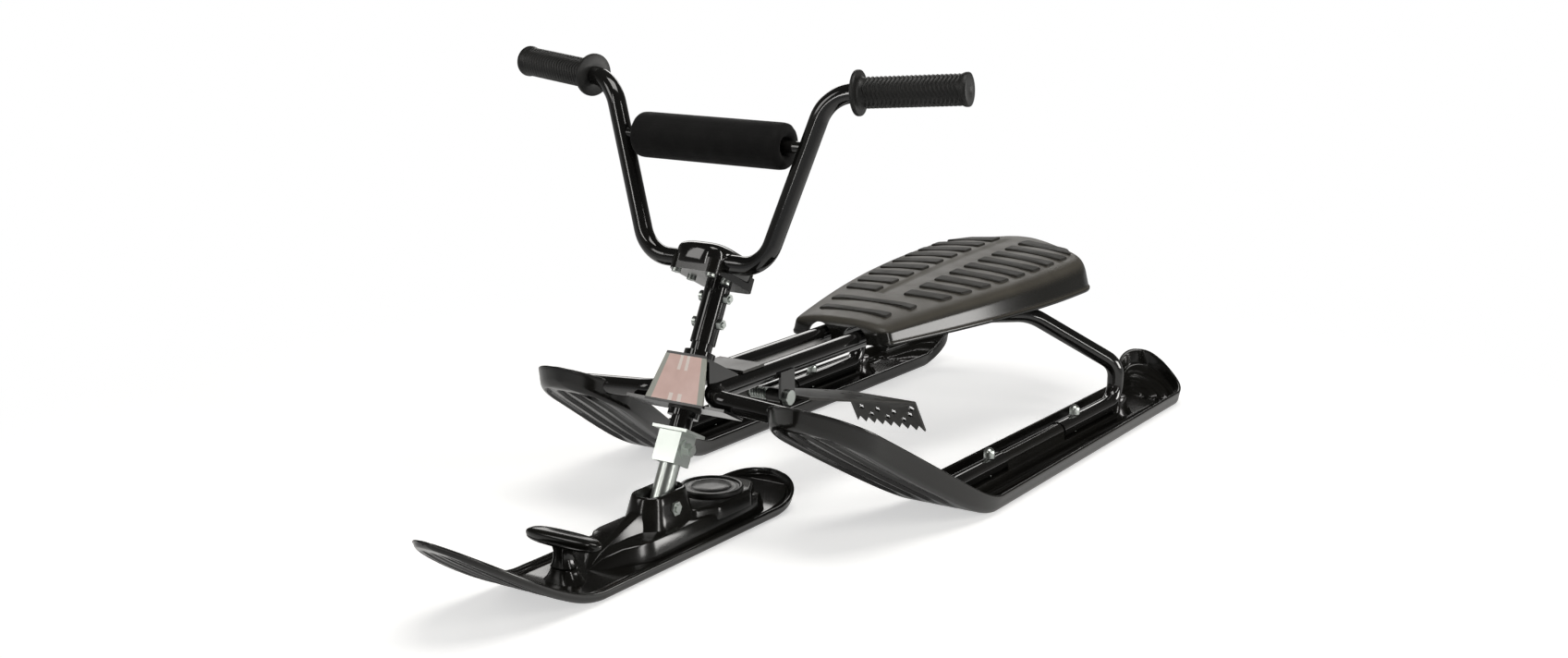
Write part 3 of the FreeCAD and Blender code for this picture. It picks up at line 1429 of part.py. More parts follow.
def seat_treads():
    """Raised rubber pads on the seat's top, all of one height above it."""
    sections = []
    for x in seat_stations():
        left = seat_crown(x)
        low = [(-y, z) for y, z in left] + list(reversed(left))
        high = [(y, z + S.tread_height) for y, z in reversed(low)]
        sections.append(ring_at(x, low + high))
    skin = lofted(sections)
    pads = []
    for plan in tread_plans():
        column = plan.extrude(UP * (S.seat_top_z + S.overrun))
        pads.append(skin.common(column).Solids[0])
    shaped("seat_treads", Part.makeCompound(pads))


seat_treads()


# Brake
HINGE = Vector(S.brake_hinge_x, 0, S.brake_hinge_z)
KNEE = Vector(S.brake_knee_x, 0, S.brake_knee_z)
CLAW = Vector(S.brake_claw_x, 0, S.brake_claw_z)


def plate_place(start, end):
    """Placement whose X runs from start to end in the sled's middle plane."""
    along = (end - start).normalize()
    return Placement(start, Rotation(along, LEFT, along.cross(LEFT), "XYZ"))


def star(radius, inner_radius, points):
    """A pointed star outline in the XY plane."""
    corners = []
    for index in range(2 * points):
        reach = radius if index % 2 == 0 else inner_radius
        angle = math.pi * index / points
        corners.append(Vector(reach * math.cos(angle), reach * math.sin(angle), 0))
    return Part.Face(Part.makePolygon(corners + corners[:1]))


def brake_plate():
    """Foot brake: two hinge barrels, a treadle, a knee and a toothed claw with star holes."""
    half = S.brake_half_width
    arm = S.brake_arm_half_width
    sheet_half = S.brake_sheet / 2
    treadle_length = (KNEE - HINGE).Length
    claw_length = (CLAW - KNEE).Length
    neck = 2 * S.brake_bracket_half_width
    treadle_place = plate_place(HINGE, KNEE)
    claw_place = plate_place(KNEE, CLAW)
    arms = slab(Vector(0, -arm, -sheet_half), Vector(neck, arm, sheet_half), treadle_place)
    tread = slab(Vector(neck, -half, -sheet_half), Vector(treadle_length, half, sheet_half), treadle_place)
    claw = slab(Vector(0, -half, -sheet_half), Vector(claw_length, half, sheet_half), claw_place)
    knee = round_bar(sheet_half, 2 * half, at(KNEE.x, -half, KNEE.z, ALONG_LEFT))
    barrel_place = at(HINGE.x, -S.brake_barrel_half_length, HINGE.z, ALONG_LEFT)
    barrel = round_bar(S.brake_barrel_radius, 2 * S.brake_barrel_half_length, barrel_place)
    shape = arms.fuse([tread, claw, knee, barrel])
    bore = round_bar(S.brake_shaft_radius + S.running_gap, 2 * half, at(HINGE.x, -half, HINGE.z, ALONG_LEFT))
    reach = S.brake_barrel_radius + S.fit_gap
    window_low = Vector(-reach, -S.brake_barrel_inner, -reach)
    window = slab(window_low, Vector(neck / 2, S.brake_barrel_inner, reach), treadle_place)
    cuts = [bore, window]
    tooth = 2 * half / S.brake_tooth_count
    for index in range(int(S.brake_tooth_count)):
        left = -half + tooth * index
        corners = [
            Vector(claw_length + S.overrun, left, 0),
            Vector(claw_length, left, 0),
            Vector(claw_length - S.brake_tooth_depth, left + tooth / 2, 0),
            Vector(claw_length, left + tooth, 0),
            Vector(claw_length + S.overrun, left + tooth, 0),
        ]
        notch = Part.Face(Part.makePolygon(corners + corners[:1])).extrude(UP * (2 * S.brake_sheet))
        notch.translate(UP * -S.brake_sheet)
        notch.Placement = claw_place.multiply(notch.Placement)
        cuts.append(notch)
    hole = star(S.brake_star_radius, S.brake_star_inner_radius, int(S.brake_star_points))
    for place, distance, count in (
        (claw_place, claw_length / 2 - S.brake_star_radius / 2, 4),
        (treadle_place, treadle_length - S.brake_star_row, 3),
        (treadle_place, treadle_length - 2 * S.brake_star_row, 4),
    ):
        for index in range(count):
            across = S.brake_star_pitch * (index - (count - 1) / 2)
            cut = hole.extrude(UP * (2 * S.brake_sheet))
            cut.translate(Vector(distance, across, -S.brake_sheet))
            cut.Placement = place.multiply(cut.Placement)
            cuts.append(cut)
    shaped("brake_plate", shape.cut(cuts).removeSplitter())


brake_plate()
BRACKET_FACE = S.spine_y + S.tube_radius
for side_name, side in SIDES.items():
    start = BRACKET_FACE if side > 0 else -BRACKET_FACE - S.brake_bracket_sheet
    sheet_piece(
        side_name + "_brake_bracket",
        "XZ_Plane",
        [
            ("-brake_bracket_half_width", "spine_z"),
            ("-brake_bracket_half_width", "brake_hinge_z"),
            ("-brake_bracket_half_width / 2", "brake_hinge_z - brake_bracket_round"),
            ("brake_bracket_half_width / 2", "brake_hinge_z - brake_bracket_round"),
            ("brake_bracket_half_width", "brake_hinge_z"),
            ("brake_bracket_half_width", "spine_z"),
        ],
        "brake_bracket_sheet",
        at(HINGE.x, start + S.brake_bracket_sheet, 0),
        [("", "brake_hinge_z", "brake_shaft_radius + seat_gap")],
    )
shaft_half = BRACKET_FACE + S.brake_bracket_sheet + S.brake_clip
keep(
    cylinder(
        "brake_shaft",
        "brake_shaft_radius",
        "spine_y / 0.5 + tube_radius / 0.5 + brake_bracket_sheet / 0.5 + brake_clip / 0.5",
        at(HINGE.x, -shaft_half, HINGE.z, ALONG_LEFT),
    ),
    "brake_shaft",
)
clips = []
for side in SIDES.values():
    start = shaft_half - S.brake_clip if side > 0 else -shaft_half
    ring = round_bar(S.brake_clip_radius, S.brake_clip, at(HINGE.x, start, HINGE.z, ALONG_LEFT))
    bore_place = at(HINGE.x, -shaft_half, HINGE.z, ALONG_LEFT)
    clips.append(ring.cut(round_bar(S.brake_shaft_radius, 2 * shaft_half, bore_place)))
shaped("brake_clips", Part.makeCompound(clips))


def brake_spring():
    """Torsion spring round the brake shaft: one leg up to the spine plate, one under the treadle."""
    radius = S.brake_spring_radius
    slope = math.atan2(HINGE.z - KNEE.z, HINGE.x - KNEE.x)
    last = math.pi / 2 - slope
    turns = int(S.brake_spring_turns) + last / (2 * math.pi)
    height = S.brake_spring_pitch * turns
    climb = S.brake_spring_pitch / (2 * math.pi)
    helix = Part.makeHelix(S.brake_spring_pitch, height, radius)
    start = Vector(radius, 0, 0)
    end = Vector(radius * math.cos(last), radius * math.sin(last), height)
    lead_way = Vector(0, radius, climb).normalize()
    tail_way = Vector(-radius * math.sin(last), radius * math.cos(last), climb).normalize()
    lead_length = S.spine_z - S.spine_plate_sheet / 2 - S.fit_gap - HINGE.z
    lead_end = start - lead_way * lead_length
    lead = Part.makeLine(lead_end, start)
    tail = Part.makeLine(end, end + tail_way * S.brake_spring_leg)
    path = Part.Wire([lead] + helix.Edges + [tail])
    ring = Part.Wire(Part.makeCircle(S.brake_spring_wire, lead_end, lead_way))
    coil = path.makePipeShell([ring], True, True)
    gap = S.brake_spring_pitch - 2 * S.brake_spring_wire
    print(f"brake spring: least gap between turns {gap:.2f} mm")
    shaped("brake_spring", coil, at(HINGE.x, -height / 2, HINGE.z, ALONG_LEFT))


brake_spring()

# Check every object and write the pieces
doc.recompute()
for piece in doc.Objects:
    if "Invalid" in piece.State or "Error" in piece.State:
        raise RuntimeError(f"{piece.Label} did not build: {piece.State}")
os.makedirs("parts", exist_ok=True)
for node in NODES:
    if node.Shape.isNull() or not node.Shape.isValid():
        raise RuntimeError(f"{node.Label} has no sound shape")
    node.Shape.exportStep(f"parts/{node.Label}.step")
    print(f"{node.Label}: {len(node.Shape.Solids)} solids, {node.Shape.Volume / 1000:.1f} cm3")
print(f"{len(NODES)} pieces")
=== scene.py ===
import json
import logging
import math
from dataclasses import dataclass
from enum import Enum
from typing import Any, Sequence

import bmesh
import bpy
import numpy as np
from mathutils import Matrix, Vector


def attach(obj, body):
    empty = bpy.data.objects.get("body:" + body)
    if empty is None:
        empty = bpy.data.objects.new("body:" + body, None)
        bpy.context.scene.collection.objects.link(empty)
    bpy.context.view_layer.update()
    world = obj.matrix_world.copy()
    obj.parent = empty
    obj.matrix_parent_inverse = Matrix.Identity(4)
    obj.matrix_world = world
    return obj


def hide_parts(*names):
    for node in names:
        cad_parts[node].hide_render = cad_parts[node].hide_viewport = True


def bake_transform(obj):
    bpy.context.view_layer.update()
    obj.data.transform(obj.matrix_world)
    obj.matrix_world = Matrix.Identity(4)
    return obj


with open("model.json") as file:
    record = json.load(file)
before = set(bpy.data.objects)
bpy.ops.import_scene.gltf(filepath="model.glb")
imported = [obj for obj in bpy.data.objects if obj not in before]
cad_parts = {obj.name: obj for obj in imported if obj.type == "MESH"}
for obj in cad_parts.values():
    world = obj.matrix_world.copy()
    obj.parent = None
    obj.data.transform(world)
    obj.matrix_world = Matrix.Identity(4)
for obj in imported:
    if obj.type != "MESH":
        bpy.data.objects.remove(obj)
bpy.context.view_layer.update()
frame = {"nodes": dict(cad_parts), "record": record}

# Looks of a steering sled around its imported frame, in millimetres until a mesh is made

LOG = logging.getLogger("steering_sled")

# Shared sizes, angles and sockets

MM = 0.001
POINT = 0.02
SHARP_DEGREES = 40.0
BLOCK_DEGREES = 34.0
SKIN_DEGREES = 50.0
LEAST_HALF = 1.0
NOISE_ENDS = (0.3, 0.7)
MIX_INPUTS = (0, 6, 7)
MIX_OUTPUT = 2
WHITE = (1.0, 1.0, 1.0, 1.0)
UNSCALED = (1.0, 1.0, 1.0)

# Short names of types

Pair = tuple[float, float]
Triple = tuple[float, float, float]
Numbers = tuple[float, ...]
Rows = tuple[Numbers, ...]
Mesh = bpy.types.Mesh
Piece = bpy.types.Object
Tree = bpy.types.NodeTree
Node = bpy.types.Node
Socket = bpy.types.NodeSocket


class Body(Enum):
    """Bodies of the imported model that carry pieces."""

    FRAME = "frame"
    STEERING = "steering"
    FRONT_SKI = "front_ski_body"
    HANDLE = "handle"
    BRAKE = "brake"


class Slot(Enum):
    """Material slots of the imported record."""

    PAINT = "painted_steel"
    SHIELD = "shield_paint"
    GREY_STEEL = "grey_steel"
    GLOSS_PLASTIC = "gloss_plastic"
    INNER_PLASTIC = "inner_plastic"
    TREAD = "tread_plastic"
    ZINC = "zinc"
    RUBBER = "grip_rubber"
    FOAM = "pad_foam"


class Side(Enum):
    """Rider's side, as the sign of Y."""

    LEFT = 1
    RIGHT = -1

    @property
    def label(self) -> str:
        """Name of the side in lower case."""
        return self.name.lower()


# Shading


class NodeGraph:
    """A node tree, with short calls to add and join nodes."""

    tree: Tree

    def feed(self, socket: Socket, value: Any) -> None:
        """Set one input, or link it where the value is a socket.

        Args:
            socket: the input.
            value: a value or an output socket.
        """
        if isinstance(value, Socket):
            self.tree.links.new(value, socket)
        else:
            socket.default_value = value

    def add(self, kind: str, settings: dict[str, Any] | None = None, **sockets: Any) -> Node:
        """Add a node.

        Args:
            kind: the node's type.
            settings: properties of the node.
            sockets: input values or output sockets, with underscores for spaces.

        Returns:
            The new node.
        """
        node = self.tree.nodes.new(kind)
        for key, value in (settings or {}).items():
            setattr(node, key, value)
        for key, value in sockets.items():
            self.feed(node.inputs[key.replace("_", " ")], value)
        return node

    def chain(self, node: Node, *values: Any) -> Socket:
        """Feed a node's first inputs in order.

        Args:
            node: the node.
            values: values or output sockets.

        Returns:
            The node's first output.
        """
        for socket, value in zip(node.inputs, values):
            self.feed(socket, value)
        return node.outputs[0]

    def math(self, operation: str, first: Any, second: Any = 0.0) -> Socket:
        """A sum of two numbers."""
        return self.chain(self.add("ShaderNodeMath", {"operation": operation}), first, second)


class ShaderGraph(NodeGraph):
    """The shading tree of a material or a world."""

    def __init__(self, owner: bpy.types.ID, output: str = "ShaderNodeOutputMaterial") -> None:
        """Start an empty tree.

        Args:
            owner: the material or world.
            output: type of its output node.
        """
        owner.use_nodes = True
        self.owner = owner
        self.tree = owner.node_tree
        self.tree.nodes.clear()
        self.output = self.tree.nodes.new(output)

    def coordinates(self) -> Socket:
        """The piece's own coordinates, in metres."""
        return self.add("ShaderNodeTexCoord").outputs["Object"]

    def noise(self, scale: float, detail: float) -> Socket:
        """Noise on the piece's own coordinates, for cells per metre and octaves."""
        scales = (scale, scale, scale)
        place = self.add("ShaderNodeMapping", Vector=self.coordinates(), Scale=scales).outputs["Vector"]
        return self.add("ShaderNodeTexNoise", Vector=place, Scale=1.0, Detail=detail).outputs["Fac"]

    def span(
        self, value: Socket, low: Any, high: Any, ends: Pair = NOISE_ENDS, shape: str = "LINEAR"
    ) -> Socket:
        """Spread a value between two numbers.

        Args:
            value: the value.
            low: result at its low end.
            high: result at its high end.
            ends: its low and high end.
            shape: how the result rises.

        Returns:
            The spread value.
        """
        node = self.add(
            "ShaderNodeMapRange", {"interpolation_type": shape}, Value=value,
            From_Min=ends[0], From_Max=ends[1], To_Min=low, To_Max=high,
        )
        return node.outputs["Result"]

    def mixed(self, share: Any, first: Any, second: Any) -> Socket:
        """Mix two colours.

        Args:
            share: how much of the second.
            first: a colour or a socket.
            second: a colour or a socket.

        Returns:
            The mixed colour.
        """
        node = self.add("ShaderNodeMix", {"data_type": "RGBA"})
        for index, value in zip(MIX_INPUTS, (share, first, second)):
            self.feed(node.inputs[index], (*value, 1.0) if isinstance(value, tuple) else value)
        return node.outputs[MIX_OUTPUT]

    def bump(self, height: Socket, strength: float, depth: float) -> Socket:
        """Turn a height into a shading normal, for a depth in metres."""
        return self.add("ShaderNodeBump", Height=height, Strength=strength, Distance=depth).outputs["Normal"]

    def close(self, shader: Socket) -> bpy.types.ID:
        """Join the last shader to the output and give back the tree's owner."""
        self.feed(self.output.inputs["Surface"], shader)
        return self.owner


@dataclass(frozen=True)
class Finish:
    """A surface with uneven colour and gloss and a fine relief."""

    name: str
    colour: Triple
    colour_far: Triple
    roughness: float
    roughness_far: float
    metallic: float = 0.0
    specular: float = 0.5
    coat: float = 0.0
    coat_roughness: float = 0.04
    sheen: float = 0.0
    sheen_roughness: float = 0.5
    mottle_scale: float = 14.0
    mottle_detail: float = 4.0
    smudge_ratio: float = 2.3
    smudge_detail: float = 5.0
    grain_scale: float = 700.0
    grain_detail: float = 2.0
    grain_depth: float = 0.0

    def material(self) -> bpy.types.Material:
        """The material of this finish, made once."""
        found = bpy.data.materials.get(self.name)
        if found:
            return found
        graph = ShaderGraph(bpy.data.materials.new(self.name))
        shader = graph.add("ShaderNodeBsdfPrincipled")
        self.dress(graph, shader)
        return graph.close(shader.outputs[0])

    def dress(self, graph: ShaderGraph, shader: Node) -> None:
        """Set the shader's sockets.

        Args:
            graph: the material's graph.
            shader: its principled shader.
        """
        mottle = graph.span(graph.noise(self.mottle_scale, self.mottle_detail), 0.0, 1.0)
        smudge = graph.noise(self.mottle_scale * self.smudge_ratio, self.smudge_detail)
        values = {
            "Base Color": graph.mixed(mottle, self.colour, self.colour_far),
            "Roughness": graph.span(smudge, self.roughness, self.roughness_far),
            "Metallic": self.metallic, "Specular IOR Level": self.specular,
        }
        if self.coat:
            values |= {"Coat Weight": self.coat, "Coat Roughness": self.coat_roughness}
        if self.sheen:
            values |= {"Sheen Weight": self.sheen, "Sheen Roughness": self.sheen_roughness}
        if self.grain_depth:
            grain = graph.noise(self.grain_scale, self.grain_detail)
            values["Normal"] = graph.bump(grain, 1.0, self.grain_depth * MM)
        for label, value in values.items():
            graph.feed(shader.inputs[label], value)


PAINT = Finish(
    "gloss_black_paint", (0.006, 0.006, 0.0058), (0.010, 0.0097, 0.009), 0.07, 0.13,
    coat=0.3, grain_scale=260.0, grain_depth=0.006,
)
GREY_STEEL = Finish(
    "dark_grey_steel", (0.03, 0.029, 0.026), (0.05, 0.048, 0.043), 0.3, 0.42,
    grain_scale=600.0, grain_depth=0.03,
)
GLOSS_PLASTIC = Finish(
    "gloss_black_plastic", (0.006, 0.0058, 0.005), (0.011, 0.0105, 0.009), 0.13, 0.2,
    specular=0.48, grain_scale=420.0, grain_depth=0.006,
)
REEL_DISC = Finish(
    "reel_disc_plastic", (0.009, 0.0088, 0.0082), (0.016, 0.0155, 0.014), 0.26, 0.36,
    specular=0.4, mottle_scale=40.0, grain_scale=800.0, grain_depth=0.03,
)
TREAD = Finish(
    "tread_rubber", (0.017, 0.016, 0.0135), (0.027, 0.0255, 0.022), 0.55, 0.66,
    specular=0.25, grain_scale=1100.0, grain_depth=0.16,
)
INNER_PLASTIC = Finish(
    "inner_matte_plastic", (0.02, 0.02, 0.019), (0.035, 0.035, 0.033), 0.45, 0.6,
    grain_depth=0.05,
)
ZINC = Finish(
    "bright_zinc", (0.56, 0.6, 0.57), (0.63, 0.67, 0.635), 0.3, 0.36,
    metallic=1.0, mottle_scale=9.0, grain_scale=1400.0, grain_depth=0.002,
)
RUBBER = Finish(
    "ribbed_grip_rubber", (0.010, 0.010, 0.0095), (0.017, 0.017, 0.016), 0.4, 0.52,
    specular=0.4, grain_scale=1300.0, grain_depth=0.08,
)
GRIP_END = Finish(
    "grip_end_rubber", (0.05, 0.047, 0.041), (0.075, 0.07, 0.062), 0.45, 0.58,
    specular=0.4, grain_scale=1300.0, grain_depth=0.08,
)
FOAM_END = Finish(
    "cut_foam", (0.04, 0.038, 0.035), (0.07, 0.067, 0.06), 0.75, 0.9,
    specular=0.2, mottle_scale=220.0, grain_scale=1500.0, grain_depth=0.3,
)


@dataclass(frozen=True)
class SeatPlastic(Finish):
    """Seat plastic that turns from a grained satin top to gloss sides, by an attribute. The top's lighter
    olive-grey colour is painted light from above, on plastic as black as the sides.
    """

    side_colour: Triple = (0.009, 0.0088, 0.0076)
    side_roughness: float = 0.17
    attribute: str = "top_share"

    def dress(self, graph: ShaderGraph, shader: Node) -> None:
        """Mix the side's colour and gloss into the plain finish, whose lighter colour is painted light on the
        top.

        Args:
            graph: the material's graph.
            shader: its principled shader.
        """
        super().dress(graph, shader)
        share = graph.add("ShaderNodeAttribute", {"attribute_name": self.attribute}).outputs["Fac"]
        colour, satin = (shader.inputs[label].links[0].from_socket for label in ("Base Color", "Roughness"))
        # the plain finish's lighter colour stays on the top as painted light; the sides take the dark side
        # colour
        graph.feed(shader.inputs["Base Color"], graph.mixed(share, self.side_colour, colour))
        graph.feed(shader.inputs["Roughness"], graph.span(share, self.side_roughness, satin, (0.0, 1.0)))
        graph.feed(shader.inputs["Normal"].links[0].from_node.inputs["Strength"], share)


# the lighter colours here are painted light on the seat's upward faces
SEAT_PLASTIC = SeatPlastic(
    "seat_plastic", (0.052, 0.047, 0.038), (0.07, 0.064, 0.052), 0.44, 0.54,
    specular=0.35, grain_scale=900.0, grain_depth=0.1,
)


@dataclass(frozen=True)
class FoamCover(Finish):
    """Black cover cloth with a fine plain weave along the roll."""

    threads_per_metre: float = 1250.0
    unevenness: float = 0.6
    weave_detail: float = 1.0
    weave_strength: float = 0.6
    weave_depth: float = 0.12

    def dress(self, graph: ShaderGraph, shader: Node) -> None:
        """Add two crossed thread waves to the plain finish.

        Args:
            graph: the material's graph.
            shader: its principled shader.
        """
        super().dress(graph, shader)
        waves = []
        for direction in ("X", "Y"):
            wave = graph.add(
                "ShaderNodeTexWave", {"bands_direction": direction}, Vector=graph.coordinates(),
                Scale=self.threads_per_metre / math.tau, Distortion=self.unevenness, Detail=self.weave_detail,
            )
            waves.append(wave.outputs["Fac"])
        woven = graph.math("MAXIMUM", *waves)
        graph.feed(shader.inputs["Normal"], graph.bump(woven, self.weave_strength, self.weave_depth * MM))


FOAM_COVER = FoamCover(
    "pad_cover_cloth", (0.005, 0.005, 0.005), (0.009, 0.0088, 0.0086), 0.7, 0.82,
    specular=0.16, sheen=0.05, mottle_scale=30.0,
)


@dataclass(frozen=True)
class StripedPaint(Finish):
    """Shield paint: a pale red field with plain stripes, between grey edge bands and dark trim."""

    stripe: Triple = (0.9, 0.78, 0.72)
    edge: Triple = (0.36, 0.37, 0.32)
    trim: Triple = (0.012, 0.012, 0.012)
    origin: Triple = (0.0, 0.0, 0.0)
    rake_degrees: float = 27.0
    half_top: float = 24.0
    half_bottom: float = 36.0
    rise: float = 52.0
    band_share: float = 0.8
    stripe_share: float = 0.16
    stripe_half_share: float = 0.07
    stripe_gap: Pair = (0.2, 0.66)
    trim_ends: Pair = (0.05, 0.95)
    fade_scale: float = 60.0
    fade_detail: float = 3.0

    def outside(self, graph: ShaderGraph, up: Socket, shares: Pair) -> Socket:
        """One below the first or above the second of two shares of the rise, or else zero."""
        low, high = (share * self.rise * MM for share in shares)
        return graph.math("MAXIMUM", graph.math("LESS_THAN", up, low), graph.math("GREATER_THAN", up, high))

    def dress(self, graph: ShaderGraph, shader: Node) -> None:
        """Paint the field, the stripes, the bands and the trim in the shield's own plane.

        Args:
            graph: the material's graph.
            shader: its principled shader.
        """
        super().dress(graph, shader)
        mapping = graph.add(
            "ShaderNodeMapping", {"vector_type": "TEXTURE"}, Vector=graph.coordinates(), Location=self.origin,
            Rotation=(0.0, -math.radians(self.rake_degrees), 0.0),
        )
        parts = graph.add("ShaderNodeSeparateXYZ", Vector=mapping.outputs["Vector"]).outputs
        up, across = parts["Z"], graph.math("ABSOLUTE", parts["Y"])
        widening = (self.half_top - self.half_bottom) / self.rise
        half = graph.math("ADD", graph.math("MULTIPLY", up, widening), self.half_bottom * MM)
        share = graph.math("DIVIDE", across, half)
        band = graph.math("GREATER_THAN", share, self.band_share)
        off_line = graph.math("ABSOLUTE", graph.math("SUBTRACT", share, self.stripe_share))
        line = graph.math("LESS_THAN", off_line, self.stripe_half_share)
        stripes = graph.math("MULTIPLY", line, self.outside(graph, up, self.stripe_gap))
        fade = graph.span(graph.noise(self.fade_scale, self.fade_detail), 0.0, 1.0)
        striped = graph.mixed(stripes, graph.mixed(fade, self.colour, self.colour_far), self.stripe)
        banded = graph.mixed(band, striped, self.edge)
        trimmed = graph.mixed(self.outside(graph, up, self.trim_ends), banded, self.trim)
        graph.feed(shader.inputs["Base Color"], trimmed)


# Mesh tools


def piece_from(name: str, mesh: Mesh) -> Piece:
    """Link a mesh to the scene as an object at the origin.

    Args:
        name: the object's name.
        mesh: its mesh.

    Returns:
        The new object.
    """
    piece = bpy.data.objects.new(name, mesh)
    bpy.context.scene.collection.objects.link(piece)
    return piece


def polished(mesh: Mesh, sharp_degrees: float = SHARP_DEGREES, weld: float = 1e-6) -> None:
    """Merge doubled points, point the faces outwards and shade them smooth.

    Args:
        mesh: the mesh to finish.
        sharp_degrees: edges over this angle stay sharp.
        weld: distance under which points are one.
    """
    work = bmesh.new()
    work.from_mesh(mesh)
    bmesh.ops.remove_doubles(work, verts=work.verts, dist=weld)
    bmesh.ops.dissolve_degenerate(work, edges=work.edges, dist=weld)
    bmesh.ops.recalc_face_normals(work, faces=work.faces)
    work.to_mesh(mesh)
    work.free()
    mesh.shade_smooth()
    mesh.set_sharp_from_angle(angle=math.radians(sharp_degrees))


def lofted(name: str, rings: Any, sharp_degrees: float = SHARP_DEGREES) -> Mesh:
    """A closed skin through rings of points, with both ends filled.

    Args:
        name: the mesh's name.
        rings: points in millimetres, as stations by points by three.
        sharp_degrees: edges over this angle stay sharp.

    Returns:
        The mesh, in metres.
    """
    points = np.array(rings)
    stations, count = points.shape[:2]
    faces = []
    for row in range(stations - 1):
        for column in range(count):
            after = (column + 1) % count
            here, there = row * count, (row + 1) * count
            faces.append((here + column, here + after, there + after, there + column))
    faces.append(tuple(range(count)))
    faces.append(tuple(reversed(range((stations - 1) * count, stations * count))))
    mesh = bpy.data.meshes.new(name)
    mesh.from_pydata([tuple(p) for p in points.reshape(-1, 3) * MM], [], faces)
    polished(mesh, sharp_degrees)
    return mesh



def joined(name: str, meshes: Sequence[Mesh]) -> Mesh:
    """Several meshes as one.

    Args:
        name: the new mesh's name.
        meshes: meshes to take in, which are removed.

    Returns:
        The joined mesh.
    """
    work = bmesh.new()
    for mesh in meshes:
        work.from_mesh(mesh)
        bpy.data.meshes.remove(mesh)
    whole = bpy.data.meshes.new(name)
    work.to_mesh(whole)
    work.free()
    whole.shade_smooth()
    whole.set_sharp_from_angle(angle=math.radians(SHARP_DEGREES))
    return whole


def applied(piece: Piece, *extras: Piece) -> Mesh:
    """Apply a piece's modifiers, keep its mesh and remove the objects.

    Args:
        piece: the object with modifiers.
        extras: helpers that go with it.

    Returns:
        The finished mesh.
    """
    graph = bpy.context.evaluated_depsgraph_get()
    mesh = bpy.data.meshes.new_from_object(piece.evaluated_get(graph))
    for done in (piece, *extras):
        bpy.data.objects.remove(done)
    return mesh


def carved(piece: Piece, cutters: Sequence[Piece]) -> Mesh:
    """Cut solids out of a piece.

    Args:
        piece: the piece, which is removed.
        cutters: the solids, which are removed too.

    Returns:
        The finished mesh.
    """
    for cutter in cutters:
        cut = piece.modifiers.new("cut", "BOOLEAN")
        cut.object = cutter
        cut.operation = "DIFFERENCE"
        cut.solver = "MANIFOLD"
    return applied(piece, *cutters)


def placed(
    name: str, mesh: Mesh, body: Body, finishes: Sequence[Finish],
    replaced: Sequence[str] = (),
) -> Piece:
    """Make a mesh a piece that rides on a body.

    Args:
        name: the piece's name.
        mesh: its mesh.
        body: the body that it moves with.
        finishes: its finishes, in the order of the faces' material numbers.
        replaced: nodes that it stands for.

    Returns:
        The piece.
    """
    piece = piece_from(name, mesh)
    mesh.materials.clear()
    for finish in finishes:
        mesh.materials.append(finish.material())
    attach(piece, body.value)
    if replaced:
        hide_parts(*replaced)
    LOG.info("%s: %d faces on %s", name, len(mesh.polygons), body.value)
    return piece


def clamped(value: Any) -> Any:
    """Hold numbers between zero and one."""
    return np.clip(value, 0.0, 1.0)


def eased(value: Any) -> Any:
    """Smooth step of numbers between zero and one."""
    held = clamped(value)
    return held * held * (3 - 2 * held)


def risen(value: Any, rise: Pair) -> Any:
    """Smooth rise from zero to one, from a start and over a length."""
    return eased((value - rise[0]) / rise[1])


def between(first: float, second: float, share: float) -> float:
    """A number on the way from one to another."""
    return first + (second - first) * share


def bell(distance: Any, half_width: float, slope: float) -> Any:
    """One inside a half width, then a smooth fall to zero over a slope."""
    return 1 - eased((np.abs(distance) - half_width) / slope)


def ramp(distance: Any, length: float, softness: float) -> Any:
    """Rise of a ramp as a share: flat at its foot, straight at its top."""
    return (np.hypot(distance, softness) - softness) / (math.hypot(length, softness) - softness)


def end_share(distance: float, radius: float, power: float = 2.0) -> float:
    """Share of the width that is left at a distance into a rounded end."""
    return float((1 - clamped(distance / radius) ** power) ** (1 / power))


def edge_drop(distance: float, radius: float) -> float:
    """How far a rounded edge has dropped at a distance from the end."""
    inside = radius - min(max(0.0, distance), radius)
    return radius - math.sqrt(max(0.0, radius**2 - inside**2))


def spread(front: Pair, rear: Pair, ends: int, run: int) -> list[float]:
    """Places along a piece, close together on its two rounded ends.

    Args:
        front: place and radius of the front end.
        rear: place and radius of the rear end.
        ends: how many places on each end.
        run: how many between them.

    Returns:
        The places, not yet in order.
    """
    turn = np.sin(np.linspace(0.0, math.pi / 2, ends))
    ahead = list(front[0] - front[1] * (1 - turn))
    behind = list(rear[0] + rear[1] * (1 - turn))
    return ahead + behind + list(np.linspace(ahead[0], behind[0], run))[1:-1]


def fuller(value: float, power: float) -> float:
    """Push a sine or cosine outwards, for an oval fuller than an ellipse."""
    return math.copysign(abs(value) ** (2 / power), value)


def arc(centre: Pair, radii: Pair, start: float, end: float, count: int) -> list[Pair]:
    """Points of an elliptic arc from one angle to another, in degrees."""
    angles = np.radians(np.linspace(start, end, count))
    return [(centre[0] + radii[0] * math.cos(a), centre[1] + radii[1] * math.sin(a)) for a in angles]


def stadium(half_length: float, half_width: float, middle_x: float, z: float, count: int = 72) -> np.ndarray:
    """Outline of a slot shape, long in X, at a height.

    Args:
        half_length: half of its length.
        half_width: half of its width.
        middle_x: its middle.
        z: its height.
        count: how many points.

    Returns:
        The points.
    """
    straight = max(half_length - half_width, 0.0)
    points = []
    for index in range(count):
        angle = -math.pi / 2 + math.tau * (index + 0.5) / count
        shift = straight if math.cos(angle) > 0 else -straight
        points.append((middle_x + shift + half_width * math.cos(angle), half_width * math.sin(angle), z))
    return np.array(points)


